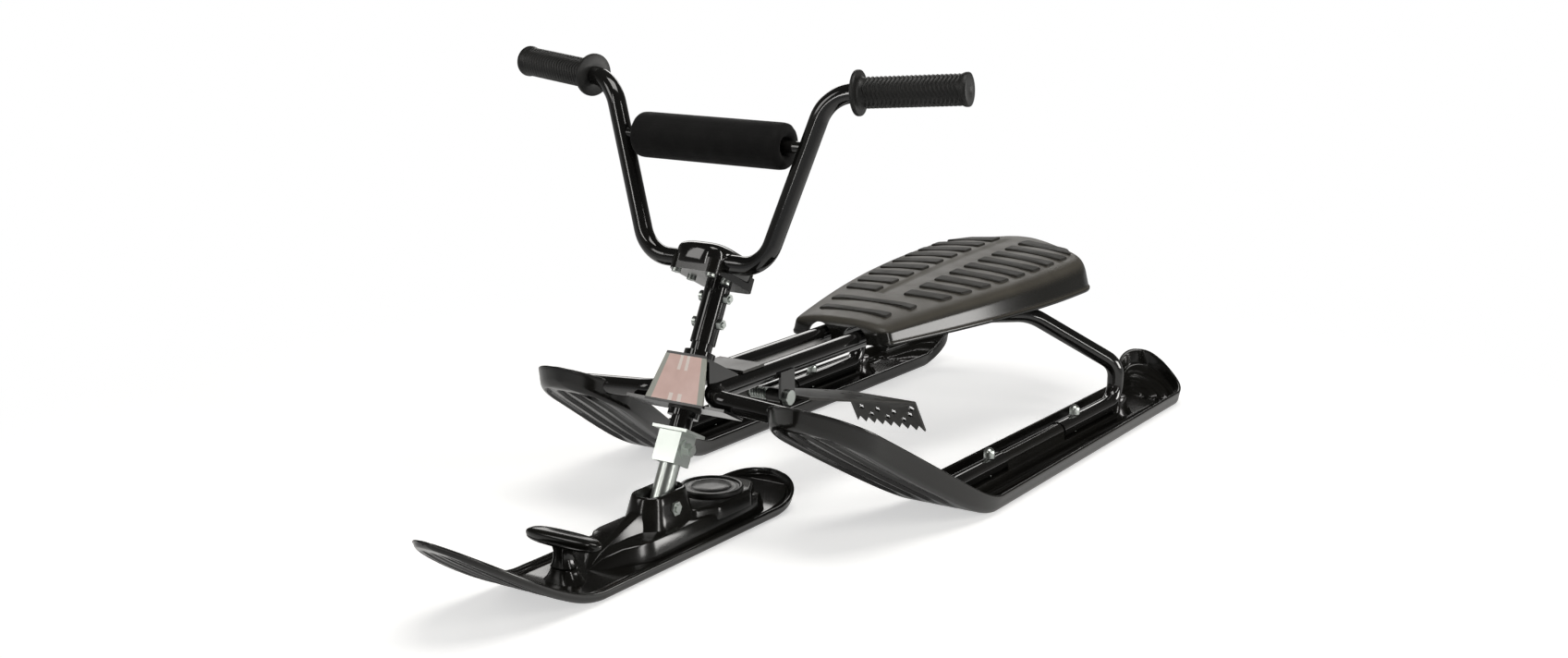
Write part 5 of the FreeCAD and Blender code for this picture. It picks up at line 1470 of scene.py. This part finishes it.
@dataclass
class Seat:
    """Moulded hood of a seat with rounded shoulders, a centre channel and a beaded lip."""

    front_x: float = -72.0
    rear_x: float = -540.0
    front_half: float = 62.0
    widest_half: float = 118.0
    widest_x: float = -440.0
    lip_z: float = 144.0
    lip_rise: float = 5.0
    lip_rows: Rows = ((0.6, 0.0), (1.0, 1.2), (1.0, 3.0), (0.3, 4.4))
    lip_bead: Pair = (1.2, 0.8)
    bead_limit: float = 6.0
    front_top_z: float = 169.0
    top_z: float = 194.0
    top_power: float = 1.7
    wall: float = 3.2
    draft: float = 6.0
    shoulder: float = 15.0
    side_limit: float = 3.0
    straight_share: float = 0.45
    shoulder_pulls: Pair = (0.62, 0.5)
    crown: float = 9.5
    front_crown: float = 3.0
    crown_power: float = 2.3
    least_reach: float = 0.5
    front_round: float = 26.0
    front_power: float = 5.2
    front_edge: float = 11.0
    rear_round: float = 78.0
    rear_power: float = 2.15
    rear_edge: float = 15.0
    channel_half: float = 10.0
    channel_slope: float = 7.0
    channel_depth: float = 3.0
    channel_front: Pair = (104.0, 16.0)
    channel_rear: Pair = (18.0, 30.0)
    tube_y: float = 23.0
    tube_z: float = 147.0
    arch_radius: float = 15.5
    arch_points: int = 25
    arch_below: float = 12.0
    arch_reach: Pair = (12.0, -24.0)
    lean_degrees: float = 14.0
    sharp_degrees: float = 38.0
    satin_and_painted_light_slope: Pair = (0.25, 0.5)
    straight_points: int = 6
    side_points: int = 22
    top_points: int = 61
    end_stations: int = 26
    run_stations: int = 90

    def back(self, x: float) -> float:
        """Share of the length from the front to the widest place."""
        return float(clamped((self.front_x - x) / (self.front_x - self.widest_x)))

    def high(self, x: float) -> float:
        """Height of the crest along the seat."""
        ahead = 1 - clamped((self.front_x - x) / (self.front_x - self.rear_x))
        return between(self.front_top_z, self.top_z, float(1 - ahead**self.top_power))

    def half(self, x: float) -> float:
        """Half width at the lip.

        Args:
            x: the station.

        Returns:
            The half width.
        """
        half = between(self.front_half, self.widest_half, math.sin(self.back(x) * math.pi / 2))
        half *= end_share(x - self.front_x + self.front_round, self.front_round, self.front_power)
        return half * end_share(self.rear_x + self.rear_round - x, self.rear_round, self.rear_power)

    def reach(self, half: float) -> float:
        """Half width of the top, inside its shoulders."""
        limit = half / self.side_limit
        return half - min(self.draft, limit) - min(self.shoulder, limit)

    def dip(self, x: float) -> float:
        """How far the top edge is rounded over near the ends."""
        return edge_drop(self.front_x - x, self.front_edge) + edge_drop(x - self.rear_x, self.rear_edge)

    def fall(self, x: float) -> float:
        """How far the top falls from the middle to its edges."""
        return between(self.front_crown, self.crown, float(eased(self.back(x))))

    def top_at(self, x: float, across: Any) -> Any:
        """Height of the top surface, with the crown and the channel.

        Args:
            x: the station.
            across: a place from the middle, or several.

        Returns:
            A height for each place.
        """
        reach = max(self.reach(max(self.half(x), LEAST_HALF)), self.least_reach)
        rounded = self.fall(x) * np.abs(across / reach) ** self.crown_power
        begin = risen(self.front_x - x, self.channel_front) * risen(x - self.rear_x, self.channel_rear)
        channel = self.channel_depth * begin * bell(across, self.channel_half, self.channel_slope)
        return self.high(x) - self.dip(x) - rounded - channel

    def section(self, x: float) -> np.ndarray:
        """One open section, from the left lip over the top to the right lip.

        Args:
            x: the station.

        Returns:
            Points in the sled's frame.
        """
        half = max(self.half(x), POINT)
        reach = self.reach(half)
        edge = float(self.top_at(x, reach))
        low = self.lip_z + self.lip_rise
        lean = math.radians(self.lean_degrees)
        rise = (edge - low) * self.straight_share
        slope = math.atan(self.crown_power * self.fall(x) / max(reach, self.least_reach))
        start = np.array((half - rise * math.tan(lean), low + rise))
        end = np.array((reach, edge))
        up, out = self.shoulder_pulls
        first = start + (edge - low - rise) * up * np.array((-math.sin(lean), math.cos(lean)))
        last = end + (start[0] - reach) * out * np.array((math.cos(slope), -math.sin(slope)))
        bead = min(self.lip_bead[0] + self.lip_bead[1] * self.back(x), half / self.bead_limit)
        left = [(half + bead * share, self.lip_z + height) for share, height in self.lip_rows]
        for share in np.linspace(0.0, 1.0, self.straight_points)[:-1]:
            left.append((between(half, start[0], share), low + rise * share))
        for t in np.linspace(0.0, 1.0, self.side_points)[:-1]:
            point = start * (1 - t) ** 3 + first * 3 * t * (1 - t) ** 2
            point = point + last * 3 * t**2 * (1 - t) + end * t**3
            left.append((point[0], point[1]))
        across = np.linspace(reach, -reach, self.top_points)
        points = left + list(zip(across, self.top_at(x, across))) + [(-y, z) for y, z in reversed(left)]
        return np.array([(x, y, z) for y, z in points])

    def stations(self) -> list[float]:
        """Places along the seat, close together at its ends."""
        front, rear = (self.front_x, self.front_round), (self.rear_x, self.rear_round)
        return sorted(set(spread(front, rear, self.end_stations, self.run_stations)), reverse=True)

    def hood(self) -> Mesh:
        """The hood with its wall and the arches over the two tubes."""
        rings = np.array([self.section(x) for x in self.stations()])
        stations, count = rings.shape[:2]
        faces = []
        for row in range(stations - 1):
            for column in range(count - 1):
                here, there = row * count + column, (row + 1) * count + column
                faces.append((here, there, there + 1, here + 1))
        mesh = bpy.data.meshes.new("seat_hood")
        mesh.from_pydata([tuple(p) for p in rings.reshape(-1, 3) * MM], [], faces)
        polished(mesh)
        work = bmesh.new()
        work.from_mesh(mesh)
        if sum(face.normal.z * face.calc_area() for face in work.faces) < 0:
            bmesh.ops.reverse_faces(work, faces=work.faces)
        work.to_mesh(mesh)
        work.free()
        hood = piece_from("seat_hood", mesh)
        wall = hood.modifiers.new("wall", "SOLIDIFY")
        wall.thickness = self.wall * MM
        wall.offset = -1.0
        wall.use_even_offset = False
        finished = carved(hood, [self.arch(side) for side in Side])
        polished(finished, self.sharp_degrees)
        return finished

    def arch(self, side: Side) -> Piece:
        """Cutter for one tube's arch in the front wall.

        Args:
            side: the tube's side.

        Returns:
            The cutter.
        """
        radius, middle, low = self.arch_radius, side.value * self.tube_y, self.lip_z - self.arch_below
        outline = arc((middle, self.tube_z), (radius, radius), 0, 180, self.arch_points)
        outline += [(middle - radius, low), (middle + radius, low)]
        rings = [[(self.front_x + x, y, z) for y, z in outline] for x in self.arch_reach]
        return piece_from("arch_cutter", lofted("arch_cutter", rings))

    def build(self) -> Piece:
        """Make the hood a piece: satin on top, lightened there with painted light, and glossy on its sides.
        """
        mesh = self.hood()
        shares = mesh.attributes.new(SEAT_PLASTIC.attribute, "FLOAT", "POINT")
        for point, share in zip(mesh.vertices, shares.data):
            # upward faces get the satin roughness, the grain and the painted light of the top
            share.value = float(risen(point.normal.z, self.satin_and_painted_light_slope))
        return placed("seat_hood", mesh, Body.FRAME, [SEAT_PLASTIC], ["seat_shell"])


@dataclass
class Treads:
    """Raised pads on the seat: bars in front, then swept pairs."""

    seat: Seat
    corner: float = 3.6
    corner_steps: int = 5
    edge_rows: Rows = ((0.0, -1.4), (0.0, 1.0), (0.35, 1.8), (1.1, 2.3), (1.9, 2.3))
    fill_shares: Numbers = (0.75, 0.5, 0.25, 0.01)
    margin: float = 25.0
    bars: int = 2
    bar_front_x: float = -104.0
    bar_pitch: float = 40.0
    bar_length: float = 15.0
    rows: int = 9
    row_front_x: float = -186.0
    row_pitch: float = 36.0
    row_length: float = 19.5
    last_length: float = 25.0
    inner_y: float = 18.0
    sweep: float = 9.0

    def pad(self, plan: Sequence[Pair]) -> Mesh:
        """One pad that follows the seat's top.

        Args:
            plan: its corners.

        Returns:
            The closed mesh.
        """
        outline = np.array(rounded_plan(plan, self.corner, self.corner_steps))
        middle = outline.mean(axis=0)
        reach = np.abs(outline - middle).max(axis=0)
        rings = []
        for inset, lift in self.edge_rows:
            rings.append(self.raised(middle + (outline - middle) * (1 - inset / reach), lift))
        for share in self.fill_shares:
            rings.append(self.raised(middle + (outline - middle) * share, self.edge_rows[-1][1]))
        return lofted("pad", rings, SKIN_DEGREES)

    def raised(self, plan: np.ndarray, lift: float) -> np.ndarray:
        """Points over the seat's top."""
        return np.array([(x, y, float(self.seat.top_at(x, np.array(y))) + lift) for x, y in plan])

    def build(self) -> Piece:
        """Make all pads one piece."""
        pads = []
        for index in range(self.bars):
            x = self.bar_front_x - index * self.bar_pitch
            rear, half = x - self.bar_length, self.seat.half(x) - self.margin
            pads.append(self.pad([(x, half), (rear, half), (rear, -half), (x, -half)]))
        for index in range(self.rows):
            x = self.row_front_x - index * self.row_pitch
            length = self.last_length if index == self.rows - 1 else self.row_length
            inner = [(x, self.inner_y), (x - length, self.inner_y)]
            outer = [(x - length - self.sweep, length), (x - self.sweep, 0.0)]
            outer = [(place, self.seat.half(x - self.sweep - run) - self.margin) for place, run in outer]
            for side in Side:
                pads.append(self.pad([(place, side.value * y) for place, y in inner + outer]))
        mesh = joined("seat_tread_pads", pads)
        return placed("seat_tread_pads", mesh, Body.FRAME, [TREAD], ["seat_treads"])


# Handlebar


@dataclass
class Grip:
    """Rubber grip: a flange, a swelled body with wavy ribs and a flat end."""

    side: Side
    bar_shoulder: Triple = (92.0, 131.0, 454.0)
    bar_end: Triple = (71.5, 264.0, 475.0)
    on_bar: float = 108.0
    length: float = 112.0
    profile: Rows = (
        (10.0, 0.0), (20.6, 0.0), (21.6, 0.5), (22.0, 1.5), (22.0, 3.4), (21.6, 4.5), (20.6, 5.0),
        (17.0, 5.3), (15.0, 6.4), (14.2, 8.4), (14.0, 11.0), (14.4, 60.0), (14.6, 104.0), (15.6, 106.0),
        (16.2, 108.0), (16.2, 110.4), (15.7, 111.5), (14.6, 112.0), (5.0, 112.0), (3.6, 111.2),
        (POINT, 111.2),
    )
    points: int = 72
    sharp_degrees: float = 45.0
    rib_reach: float = 13.25
    rib_radius: float = 1.9
    rib_points: int = 90
    bead_points: int = 8
    ribs: int = 22
    rib_pitch: float = 4.25
    first_rib: float = 13.0
    wave: float = 1.7
    waves: float = 4.0
    end_depth: float = 1.0
    end_slope: float = 0.9

    def on_side(self, place: Triple) -> Vector:
        """A place on the steering, on this grip's side."""
        forward, left, up = place
        return AXIS.point(forward, self.side.value * left, up)

    def frame_matrix(self) -> Matrix:
        """Place of the grip: its own Z runs out along the bar."""
        end = self.on_side(self.bar_end)
        along = (end - self.on_side(self.bar_shoulder)).normalized()
        turn = along.to_track_quat("Z", "X").to_matrix().to_4x4()
        return Matrix.Translation((end - along * self.on_bar) * MM) @ turn

    def wavy_ribs(self) -> Mesh:
        """Ribs round the sleeve, from a Geometry Nodes tree."""
        recipe = Recipe(
            f"{self.side.label}_grip_ribs",
            {
                "Ribs": self.ribs, "Pitch": self.rib_pitch * MM, "First": self.first_rib * MM,
                "Radius": self.rib_reach * MM, "Bead": self.rib_radius * MM, "Wave": self.wave * MM,
                "Turns": self.waves,
            },
        )
        circle, bead = (
            recipe.add("GeometryNodeCurvePrimitiveCircle", Resolution=points, Radius=recipe.size(label))
            for points, label in ((self.rib_points, "Radius"), (self.bead_points, "Bead"))
        )
        factor = recipe.add("GeometryNodeSplineParameter").outputs["Factor"]
        angle = recipe.math("MULTIPLY", recipe.math("MULTIPLY", factor, math.tau), recipe.size("Turns"))
        lift = recipe.vector(z=recipe.math("MULTIPLY", recipe.math("SINE", angle), recipe.size("Wave")))
        waved = recipe.add("GeometryNodeSetPosition", Geometry=circle.outputs["Curve"], Offset=lift)
        rib = recipe.add(
            "GeometryNodeCurveToMesh", Curve=waved.outputs["Geometry"], Profile_Curve=bead.outputs["Curve"]
        )
        smooth = recipe.add("GeometryNodeSetShadeSmooth", Geometry=rib.outputs["Mesh"]).outputs[0]
        first, step = (recipe.vector(z=recipe.size(label)) for label in ("First", "Pitch"))
        row = recipe.row(smooth, recipe.size("Ribs"), first, step, UNSCALED)
        return recipe.bake("grip_ribs", row, RUBBER)

    def build(self) -> Piece:
        """Make sleeve and ribs one piece on the steering."""
        node = f"{self.side.label}_grip"
        body = turned("grip_body", self.profile, self.points, self.sharp_degrees)
        mesh = joined(node + "_rubber", [body, self.wavy_ribs()])
        flat = (self.length - self.end_depth) * MM
        for face in mesh.polygons:
            face.material_index = int(face.center.z > flat and face.normal.z > self.end_slope)
        mesh.transform(self.frame_matrix())
        return placed(node + "_rubber", mesh, Body.STEERING, [RUBBER, GRIP_END], [node])


@dataclass
class ClampCap:
    """Domed cap over the middle of the handlebar, with a short skirt."""

    middle_forward: float = 15.0
    half_length: float = 40.5
    half_width: float = 31.4
    skirt_rows: Rows = ((283.0, 0.985), (284.0, 1.0), (297.0, 1.0))
    edge_up: float = 297.0
    top_up: float = 310.5
    dome_power: float = 2.6
    dome_rings: int = 22
    least_scale: float = 0.004
    plan_power: float = 3.4
    points: int = 96

    def build(self) -> Piece:
        """Make the cap a piece on the steering."""
        levels = list(self.skirt_rows)
        for share in np.sin(np.linspace(0.0, math.pi / 2, self.dome_rings))[1:]:
            scale = max(self.least_scale, (1 - share**self.dome_power) ** (1 / self.dome_power))
            levels.append((between(self.edge_up, self.top_up, share), scale))
        rings = []
        for up, scale in levels:
            halves = (self.half_length * scale, self.half_width * scale)
            plan = oval(self.middle_forward, 0.0, up, *halves, self.plan_power, self.points)
            rings.append([tuple(AXIS.point(*place)) for place in plan])
        mesh = lofted("clamp_cap_dome", rings, SKIN_DEGREES)
        return placed("clamp_cap_dome", mesh, Body.STEERING, [PAINT], ["clamp_cap"])


@dataclass
class CrossbarPad:
    """Foam roll round the crossbar in a sewn cover, swelled as cloth."""

    forward: float = 73.9
    up: float = 404.0
    half_length: float = 89.0
    start_radius: float = 23.2
    end_round: float = 5.0
    round_points: int = 6
    points: int = 64
    bore: float = 10.5
    bore_depth: float = 12.0
    bore_edge: float = 1.5
    voxel: float = 3.2
    pressure: float = 4.0
    cap: float = 1.5
    frames: int = 20
    stitches: int = 40
    seam_margin: float = 8.0
    seam_half: float = 2.6
    thread: float = 0.42
    stitch_scale: Triple = (0.8, 1.0, 3.4)
    stitch_rounds: int = 2
    end_depth: float = 2.0
    end_slope: float = 0.7
    end_margin: float = 1.0

    def roll(self) -> Mesh:
        """The roll before it swells, along its own Z."""
        end, bend, edge = self.half_length, self.end_round, self.bore_edge
        deep = end - self.bore_depth
        half = [(POINT, deep), (self.bore - edge, deep), (self.bore, end - edge), (self.bore + edge, end)]
        for z, y in arc((0.0, 0.0), (bend, bend), 0, 90, self.round_points):
            half.append((self.start_radius - bend + y, end - bend + z))
        return turned("pad_roll", half + [(radius, -z) for radius, z in reversed(half)], self.points)

    def swelled(self, mesh: Mesh) -> Mesh:
        """Blow the roll up a little as cloth and keep the result.

        Args:
            mesh: the roll.

        Returns:
            The swelled mesh.
        """
        start = piece_from("pad_start", mesh)
        voxels = start.modifiers.new("voxels", "REMESH")
        voxels.mode = "VOXEL"
        voxels.voxel_size = self.voxel * MM
        cover = piece_from("pad_cover", applied(start))
        self.blow(cover)
        smooth = cover.modifiers.new("smooth", "SUBSURF")
        smooth.levels = smooth.render_levels = 1
        return applied(cover)

    def blow(self, cover: Piece) -> None:
        """Run the cloth and move the cover's points, no further than the cap.

        Args:
            cover: the cover.
        """
        scene = bpy.context.scene
        cloth = cover.modifiers.new("cloth", "CLOTH")
        cloth.settings.use_pressure = True
        cloth.settings.uniform_pressure_force = self.pressure
        cloth.settings.effector_weights.gravity = 0.0
        cloth.point_cache.frame_start = 1
        cloth.point_cache.frame_end = self.frames
        for number in range(1, self.frames + 1):
            scene.frame_set(number)
        graph = bpy.context.evaluated_depsgraph_get()
        blown = cover.evaluated_get(graph).to_mesh()
        moved = [point.co.copy() for point in blown.vertices]
        cover.modifiers.remove(cloth)
        scene.frame_set(1)
        for point, goal in zip(cover.data.vertices, moved):
            step = goal - point.co
            if step.length > self.cap * MM:
                step = step.normalized() * (self.cap * MM)
            point.co = point.co + step

    def seam(self) -> Mesh:
        """Two rows of stitches along the back of the roll, from a Geometry Nodes tree."""
        recipe = Recipe(
            "pad_seam_stitches",
            {
                "Stitches": self.stitches, "Length": 2 * (self.half_length - self.seam_margin) * MM,
                "Across": self.seam_half * MM, "Out": -(self.start_radius + self.cap) * MM,
                "Thread": self.thread * MM,
            },
        )
        pitch = recipe.math("DIVIDE", recipe.size("Length"), self.stitches - 1.0)
        start = recipe.math("MULTIPLY", recipe.size("Length"), -0.5)
        thread = recipe.size("Thread")
        ball = recipe.add("GeometryNodeMeshIcoSphere", Radius=thread, Subdivisions=self.stitch_rounds)
        both = recipe.add("GeometryNodeJoinGeometry")
        for side in Side:
            across = recipe.math("MULTIPLY", recipe.size("Across"), float(side.value))
            first, step = recipe.vector(recipe.size("Out"), across, start), recipe.vector(z=pitch)
            row = recipe.row(ball.outputs["Mesh"], recipe.size("Stitches"), first, step, self.stitch_scale)
            recipe.feed(both.inputs[0], row)
        return recipe.bake("pad_stitches", both.outputs[0], FOAM_END)

    def place(self) -> Matrix:
        """Place of the roll: its own Z runs to the left, its own X forward."""
        tilt = math.radians(AXIS.rake_degrees)
        forward = Vector((math.cos(tilt), 0.0, math.sin(tilt)))
        left = Vector((0.0, 1.0, 0.0))
        basis = Matrix((forward, left.cross(forward), left)).transposed().to_4x4()
        return Matrix.Translation(AXIS.point(self.forward, 0.0, self.up) * MM) @ basis

    def build(self) -> list[Piece]:
        """Make the roll and its stitches pieces on the steering."""
        mesh = self.swelled(self.roll())
        mesh.shade_smooth()
        end, inner = (self.half_length - self.end_depth) * MM, (self.bore - self.end_margin) * MM
        for face in mesh.polygons:
            at_end = abs(face.center.z) > end and abs(face.normal.z) > self.end_slope
            face.material_index = int(at_end and math.hypot(face.center.x, face.center.y) > inner)
        mesh.transform(self.place())
        finishes = [FOAM_COVER, FOAM_END]
        roll = placed("crossbar_pad_roll", mesh, Body.STEERING, finishes, ["crossbar_pad"])
        stitches = self.seam()
        stitches.transform(self.place())
        seam = placed("crossbar_pad_stitches", stitches, Body.STEERING, [FOAM_END])
        return [roll, seam]


# Brake


@dataclass
class BrakePlate:
    """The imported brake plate, with more grip holes punched in its claw."""

    knee: Triple = (-170.0, 0.0, 57.0)
    claw: Triple = (-196.0, 0.0, 17.0)
    punch_depths: Pair = (-8.0, 8.0)
    star_radii: Pair = (4.4, 2.7)
    star_corners: int = 16
    star_along: float = 31.6
    star_places: Numbers = (-22.0, 0.0, 22.0)
    eye_radii: Pair = (4.0, 4.0)
    eye_corners: int = 24
    eye_along: float = 10.0
    eye_across: float = 38.5
    sharp_degrees: float = 30.0
    weld: float = 1e-5

    def punch(self, along: float, across: float, radii: Pair, corners: int) -> Piece:
        """A cutter square to the claw.

        Args:
            along: distance down the claw.
            across: place across it.
            radii: outer and inner radius.
            corners: corners of its outline.

        Returns:
            The cutter.
        """
        knee = Vector(self.knee)
        down = (Vector(self.claw) - knee).normalized()
        out = down.cross(Vector((0.0, 1.0, 0.0)))
        rings = []
        for depth in self.punch_depths:
            ring = []
            for index in range(corners):
                angle = math.tau * index / corners
                radius = radii[index % 2]
                point = knee + down * (along + radius * math.cos(angle)) + out * depth
                ring.append((point.x, across + radius * math.sin(angle), point.z))
            rings.append(ring)
        return piece_from("punch", lofted("punch", rings))

    def build(self) -> Piece:
        """Punch a copy of the node and make it the brake's piece."""
        mesh = frame["nodes"]["brake_plate"].data.copy()
        polished(mesh, self.sharp_degrees, self.weld)
        plate = piece_from("brake_plate_blank", mesh)
        cutters = []
        for across in self.star_places:
            cutters.append(self.punch(self.star_along, across, self.star_radii, self.star_corners))
        cutters.append(self.punch(self.eye_along, self.eye_across, self.eye_radii, self.eye_corners))
        punched = carved(plate, cutters)
        punched.set_sharp_from_angle(angle=math.radians(self.sharp_degrees))
        finishes = [GREY_STEEL]
        return placed("brake_plate_punched", punched, Body.BRAKE, finishes, ["brake_plate"])


@dataclass
class ReturnSpring:
    """Torsion spring on the brake's shaft, kept as one copy of its node."""

    hinge: Triple = (80.0, 0.0, 118.0)
    turn_length: float = 10.0

    def build(self) -> Piece:
        """Make a copy of the node a zinc piece, fixed in place."""
        mesh = frame["nodes"]["brake_spring"].data.copy()
        mesh.materials.clear()
        mesh.materials.append(ZINC.material())
        spring = piece_from("brake_return_spring", mesh)
        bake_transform(spring)
        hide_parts("brake_spring")
        return spring


# Carried-over nodes


@dataclass
class CarriedNodes:
    """Nodes whose shape is right, each with the finish of its slot."""

    shield_foot: Triple = (20.0, 0.0, 146.0)

    def finishes(self) -> dict[Slot, Finish]:
        """The finish of every slot."""
        shield = StripedPaint(
            "shield_striped_paint", (0.74, 0.48, 0.42), (0.82, 0.56, 0.5), 0.3, 0.42, coat=0.2,
            origin=tuple(AXIS.point(*self.shield_foot) * MM),
        )
        return {
            Slot.PAINT: PAINT, Slot.SHIELD: shield, Slot.GREY_STEEL: GREY_STEEL,
            Slot.GLOSS_PLASTIC: GLOSS_PLASTIC, Slot.INNER_PLASTIC: INNER_PLASTIC, Slot.TREAD: TREAD,
            Slot.ZINC: ZINC, Slot.RUBBER: RUBBER, Slot.FOAM: FOAM_COVER,
        }

    def dress(self) -> None:
        """Give every node its finish."""
        finishes = self.finishes()
        for part in frame["record"]["subparts"]:
            materials = frame["nodes"][part["node"]].data.materials
            materials.clear()
            materials.append(finishes[Slot(part["material_slot"])].material())


# Studio


@dataclass(frozen=True)
class SoftBox:
    """A rectangular soft light, in metres and watts."""

    name: str
    place: Triple
    target: Triple
    size: Pair
    watts: float
    colour: Triple = (1.0, 0.985, 0.96)

    def build(self) -> None:
        """Hang the light and turn it to its target."""
        lamp = bpy.data.lights.new(self.name, "AREA")
        lamp.shape = "RECTANGLE"
        lamp.size, lamp.size_y = self.size
        lamp.energy = self.watts
        lamp.color = self.colour
        box = bpy.data.objects.new(self.name, lamp)
        box.location = self.place
        box.visible_camera = False
        aim = Vector(self.target) - Vector(self.place)
        box.rotation_euler = aim.to_track_quat("-Z", "Y").to_euler()
        bpy.context.scene.collection.objects.link(box)


SOFT_BOXES = (
    SoftBox("overhead_box", (0.3, 0.5, 2.4), (-0.1, 0.0, 0.1), (1.5, 1.1), 28.0),
    SoftBox("back_box", (-2.0, -1.3, 1.2), (-0.2, 0.0, 0.2), (2.2, 0.8), 16.0),
    SoftBox("left_box", (-1.15, 1.8, 0.4), (-0.25, 0.0, 0.17), (0.9, 0.5), 17.0),
    SoftBox("front_box", (1.8, -1.15, 1.25), (0.2, 0.0, 0.2), (0.6, 0.9), 6.5),
    SoftBox("front_strip", (2.3, -0.2, 0.9), (0.1, 0.0, 0.25), (0.12, 1.5), 6.0),
    SoftBox("side_strip", (0.25, 2.2, 0.95), (0.1, 0.0, 0.25), (0.2, 1.5), 11.0),
)


@dataclass
class Studio:
    """Pale floor, white surround, soft boxes and the camera, in metres."""

    eye: Triple = (1.696, 1.111, 0.638)
    heading_degrees: float = 33.756
    tilt_degrees: float = 12.967
    lens: float = 44.114
    sensor: float = 36.0
    clip_end: float = 50.0
    floor_radius: float = 9.0
    floor_points: int = 96
    floor_z: float = -0.0008
    floor_colour: Numbers = (0.78, 0.78, 0.77, 1.0)
    floor_fade: Pair = (0.4, 1.1)
    lift: float = 0.55
    mirrored_floor: float = 0.38
    surround_colour: Numbers = (1.0, 0.975, 0.93, 1.0)
    horizon: float = 0.18
    horizon_ends: Pair = (0.05, 0.4)
    ceiling: float = 0.05

    def build(self) -> None:
        """Make the stage."""
        self.camera()
        self.floor()
        self.surround()
        for box in SOFT_BOXES:
            box.build()

    def camera(self) -> None:
        """Camera at the photograph's angle."""
        turn = math.radians(self.heading_degrees)
        tilt = math.radians(self.tilt_degrees)
        ahead = Vector((-math.cos(turn) * math.cos(tilt), -math.sin(turn) * math.cos(tilt), -math.sin(tilt)))
        right = Vector((-math.sin(turn), math.cos(turn), 0.0))
        up = right.cross(ahead)
        lens = bpy.data.cameras.new("camera")
        lens.sensor_fit = "HORIZONTAL"
        lens.sensor_width = self.sensor
        lens.lens = self.lens
        lens.clip_end = self.clip_end
        camera = bpy.data.objects.new("camera", lens)
        basis = Matrix((right, up, -ahead)).transposed().to_4x4()
        camera.matrix_world = Matrix.Translation(Vector(self.eye)) @ basis
        bpy.context.scene.collection.objects.link(camera)
        bpy.context.scene.camera = camera

    def floor(self) -> None:
        """A pale round floor that fades into the surround and keeps the shadow."""
        work = bmesh.new()
        bmesh.ops.create_circle(work, cap_ends=True, segments=self.floor_points, radius=self.floor_radius)
        mesh = bpy.data.meshes.new("floor")
        work.to_mesh(mesh)
        work.free()
        floor = piece_from("floor", mesh)
        floor.location.z = self.floor_z
        graph = ShaderGraph(bpy.data.materials.new("pale_floor"))
        rays = graph.add("ShaderNodeLightPath").outputs
        mirrored = graph.math("MULTIPLY", rays["Is Glossy Ray"], self.mirrored_floor)
        through = graph.math("MAXIMUM", mirrored, rays["Is Transmission Ray"])
        seen = graph.math("MAXIMUM", rays["Is Camera Ray"], through)
        matte = graph.add("ShaderNodeBsdfDiffuse", Color=self.floor_colour).outputs[0]
        bright = graph.math("MULTIPLY", seen, self.lift)
        glow = graph.add("ShaderNodeEmission", Color=WHITE, Strength=bright).outputs[0]
        white = graph.add("ShaderNodeEmission", Color=WHITE, Strength=seen).outputs[0]
        near = graph.chain(graph.add("ShaderNodeAddShader"), matte, glow)
        length = graph.add("ShaderNodeVectorMath", {"operation": "LENGTH"}, Vector=graph.coordinates())
        fade = graph.span(length.outputs["Value"], 0.0, 1.0, self.floor_fade, "SMOOTHSTEP")
        mesh.materials.append(graph.close(graph.chain(graph.add("ShaderNodeMixShader"), fade, near, white)))

    def surround(self) -> None:
        """White surround for the camera; for the object, white at the horizon under a dim ceiling."""
        graph = ShaderGraph(bpy.data.worlds.new("surround"), "ShaderNodeOutputWorld")
        rays = graph.add("ShaderNodeLightPath").outputs
        around = graph.add("ShaderNodeTexCoord").outputs["Generated"]
        up = graph.add("ShaderNodeSeparateXYZ", Vector=around).outputs["Z"]
        fall = graph.span(up, self.horizon, self.ceiling, self.horizon_ends, "SMOOTHSTEP")
        lit = graph.add("ShaderNodeBackground", Color=self.surround_colour, Strength=fall).outputs[0]
        white = graph.add("ShaderNodeBackground", Color=WHITE, Strength=1.0).outputs[0]
        seen = graph.math("MAXIMUM", rays["Is Camera Ray"], rays["Is Transmission Ray"])
        bpy.context.scene.world = graph.close(graph.chain(graph.add("ShaderNodeMixShader"), seen, lit, white))


def main() -> None:
    """Build the looks in order."""
    logging.basicConfig(level=logging.INFO, format="%(name)s: %(message)s")
    bpy.context.scene.view_settings.view_transform = "Standard"
    Studio().build()
    CarriedNodes().dress()
    for side in Side:
        rear_ski(side).build()
    FRONT_SKI.build()
    ReelCover().build()
    TowHandle().build()
    seat = Seat()
    seat.build()
    Treads(seat).build()
    for side in Side:
        Grip(side).build()
    ClampCap().build()
    BrakePlate().build()
    ReturnSpring().build()
    CrossbarPad().build()


if __name__ == "__main__":
    main()
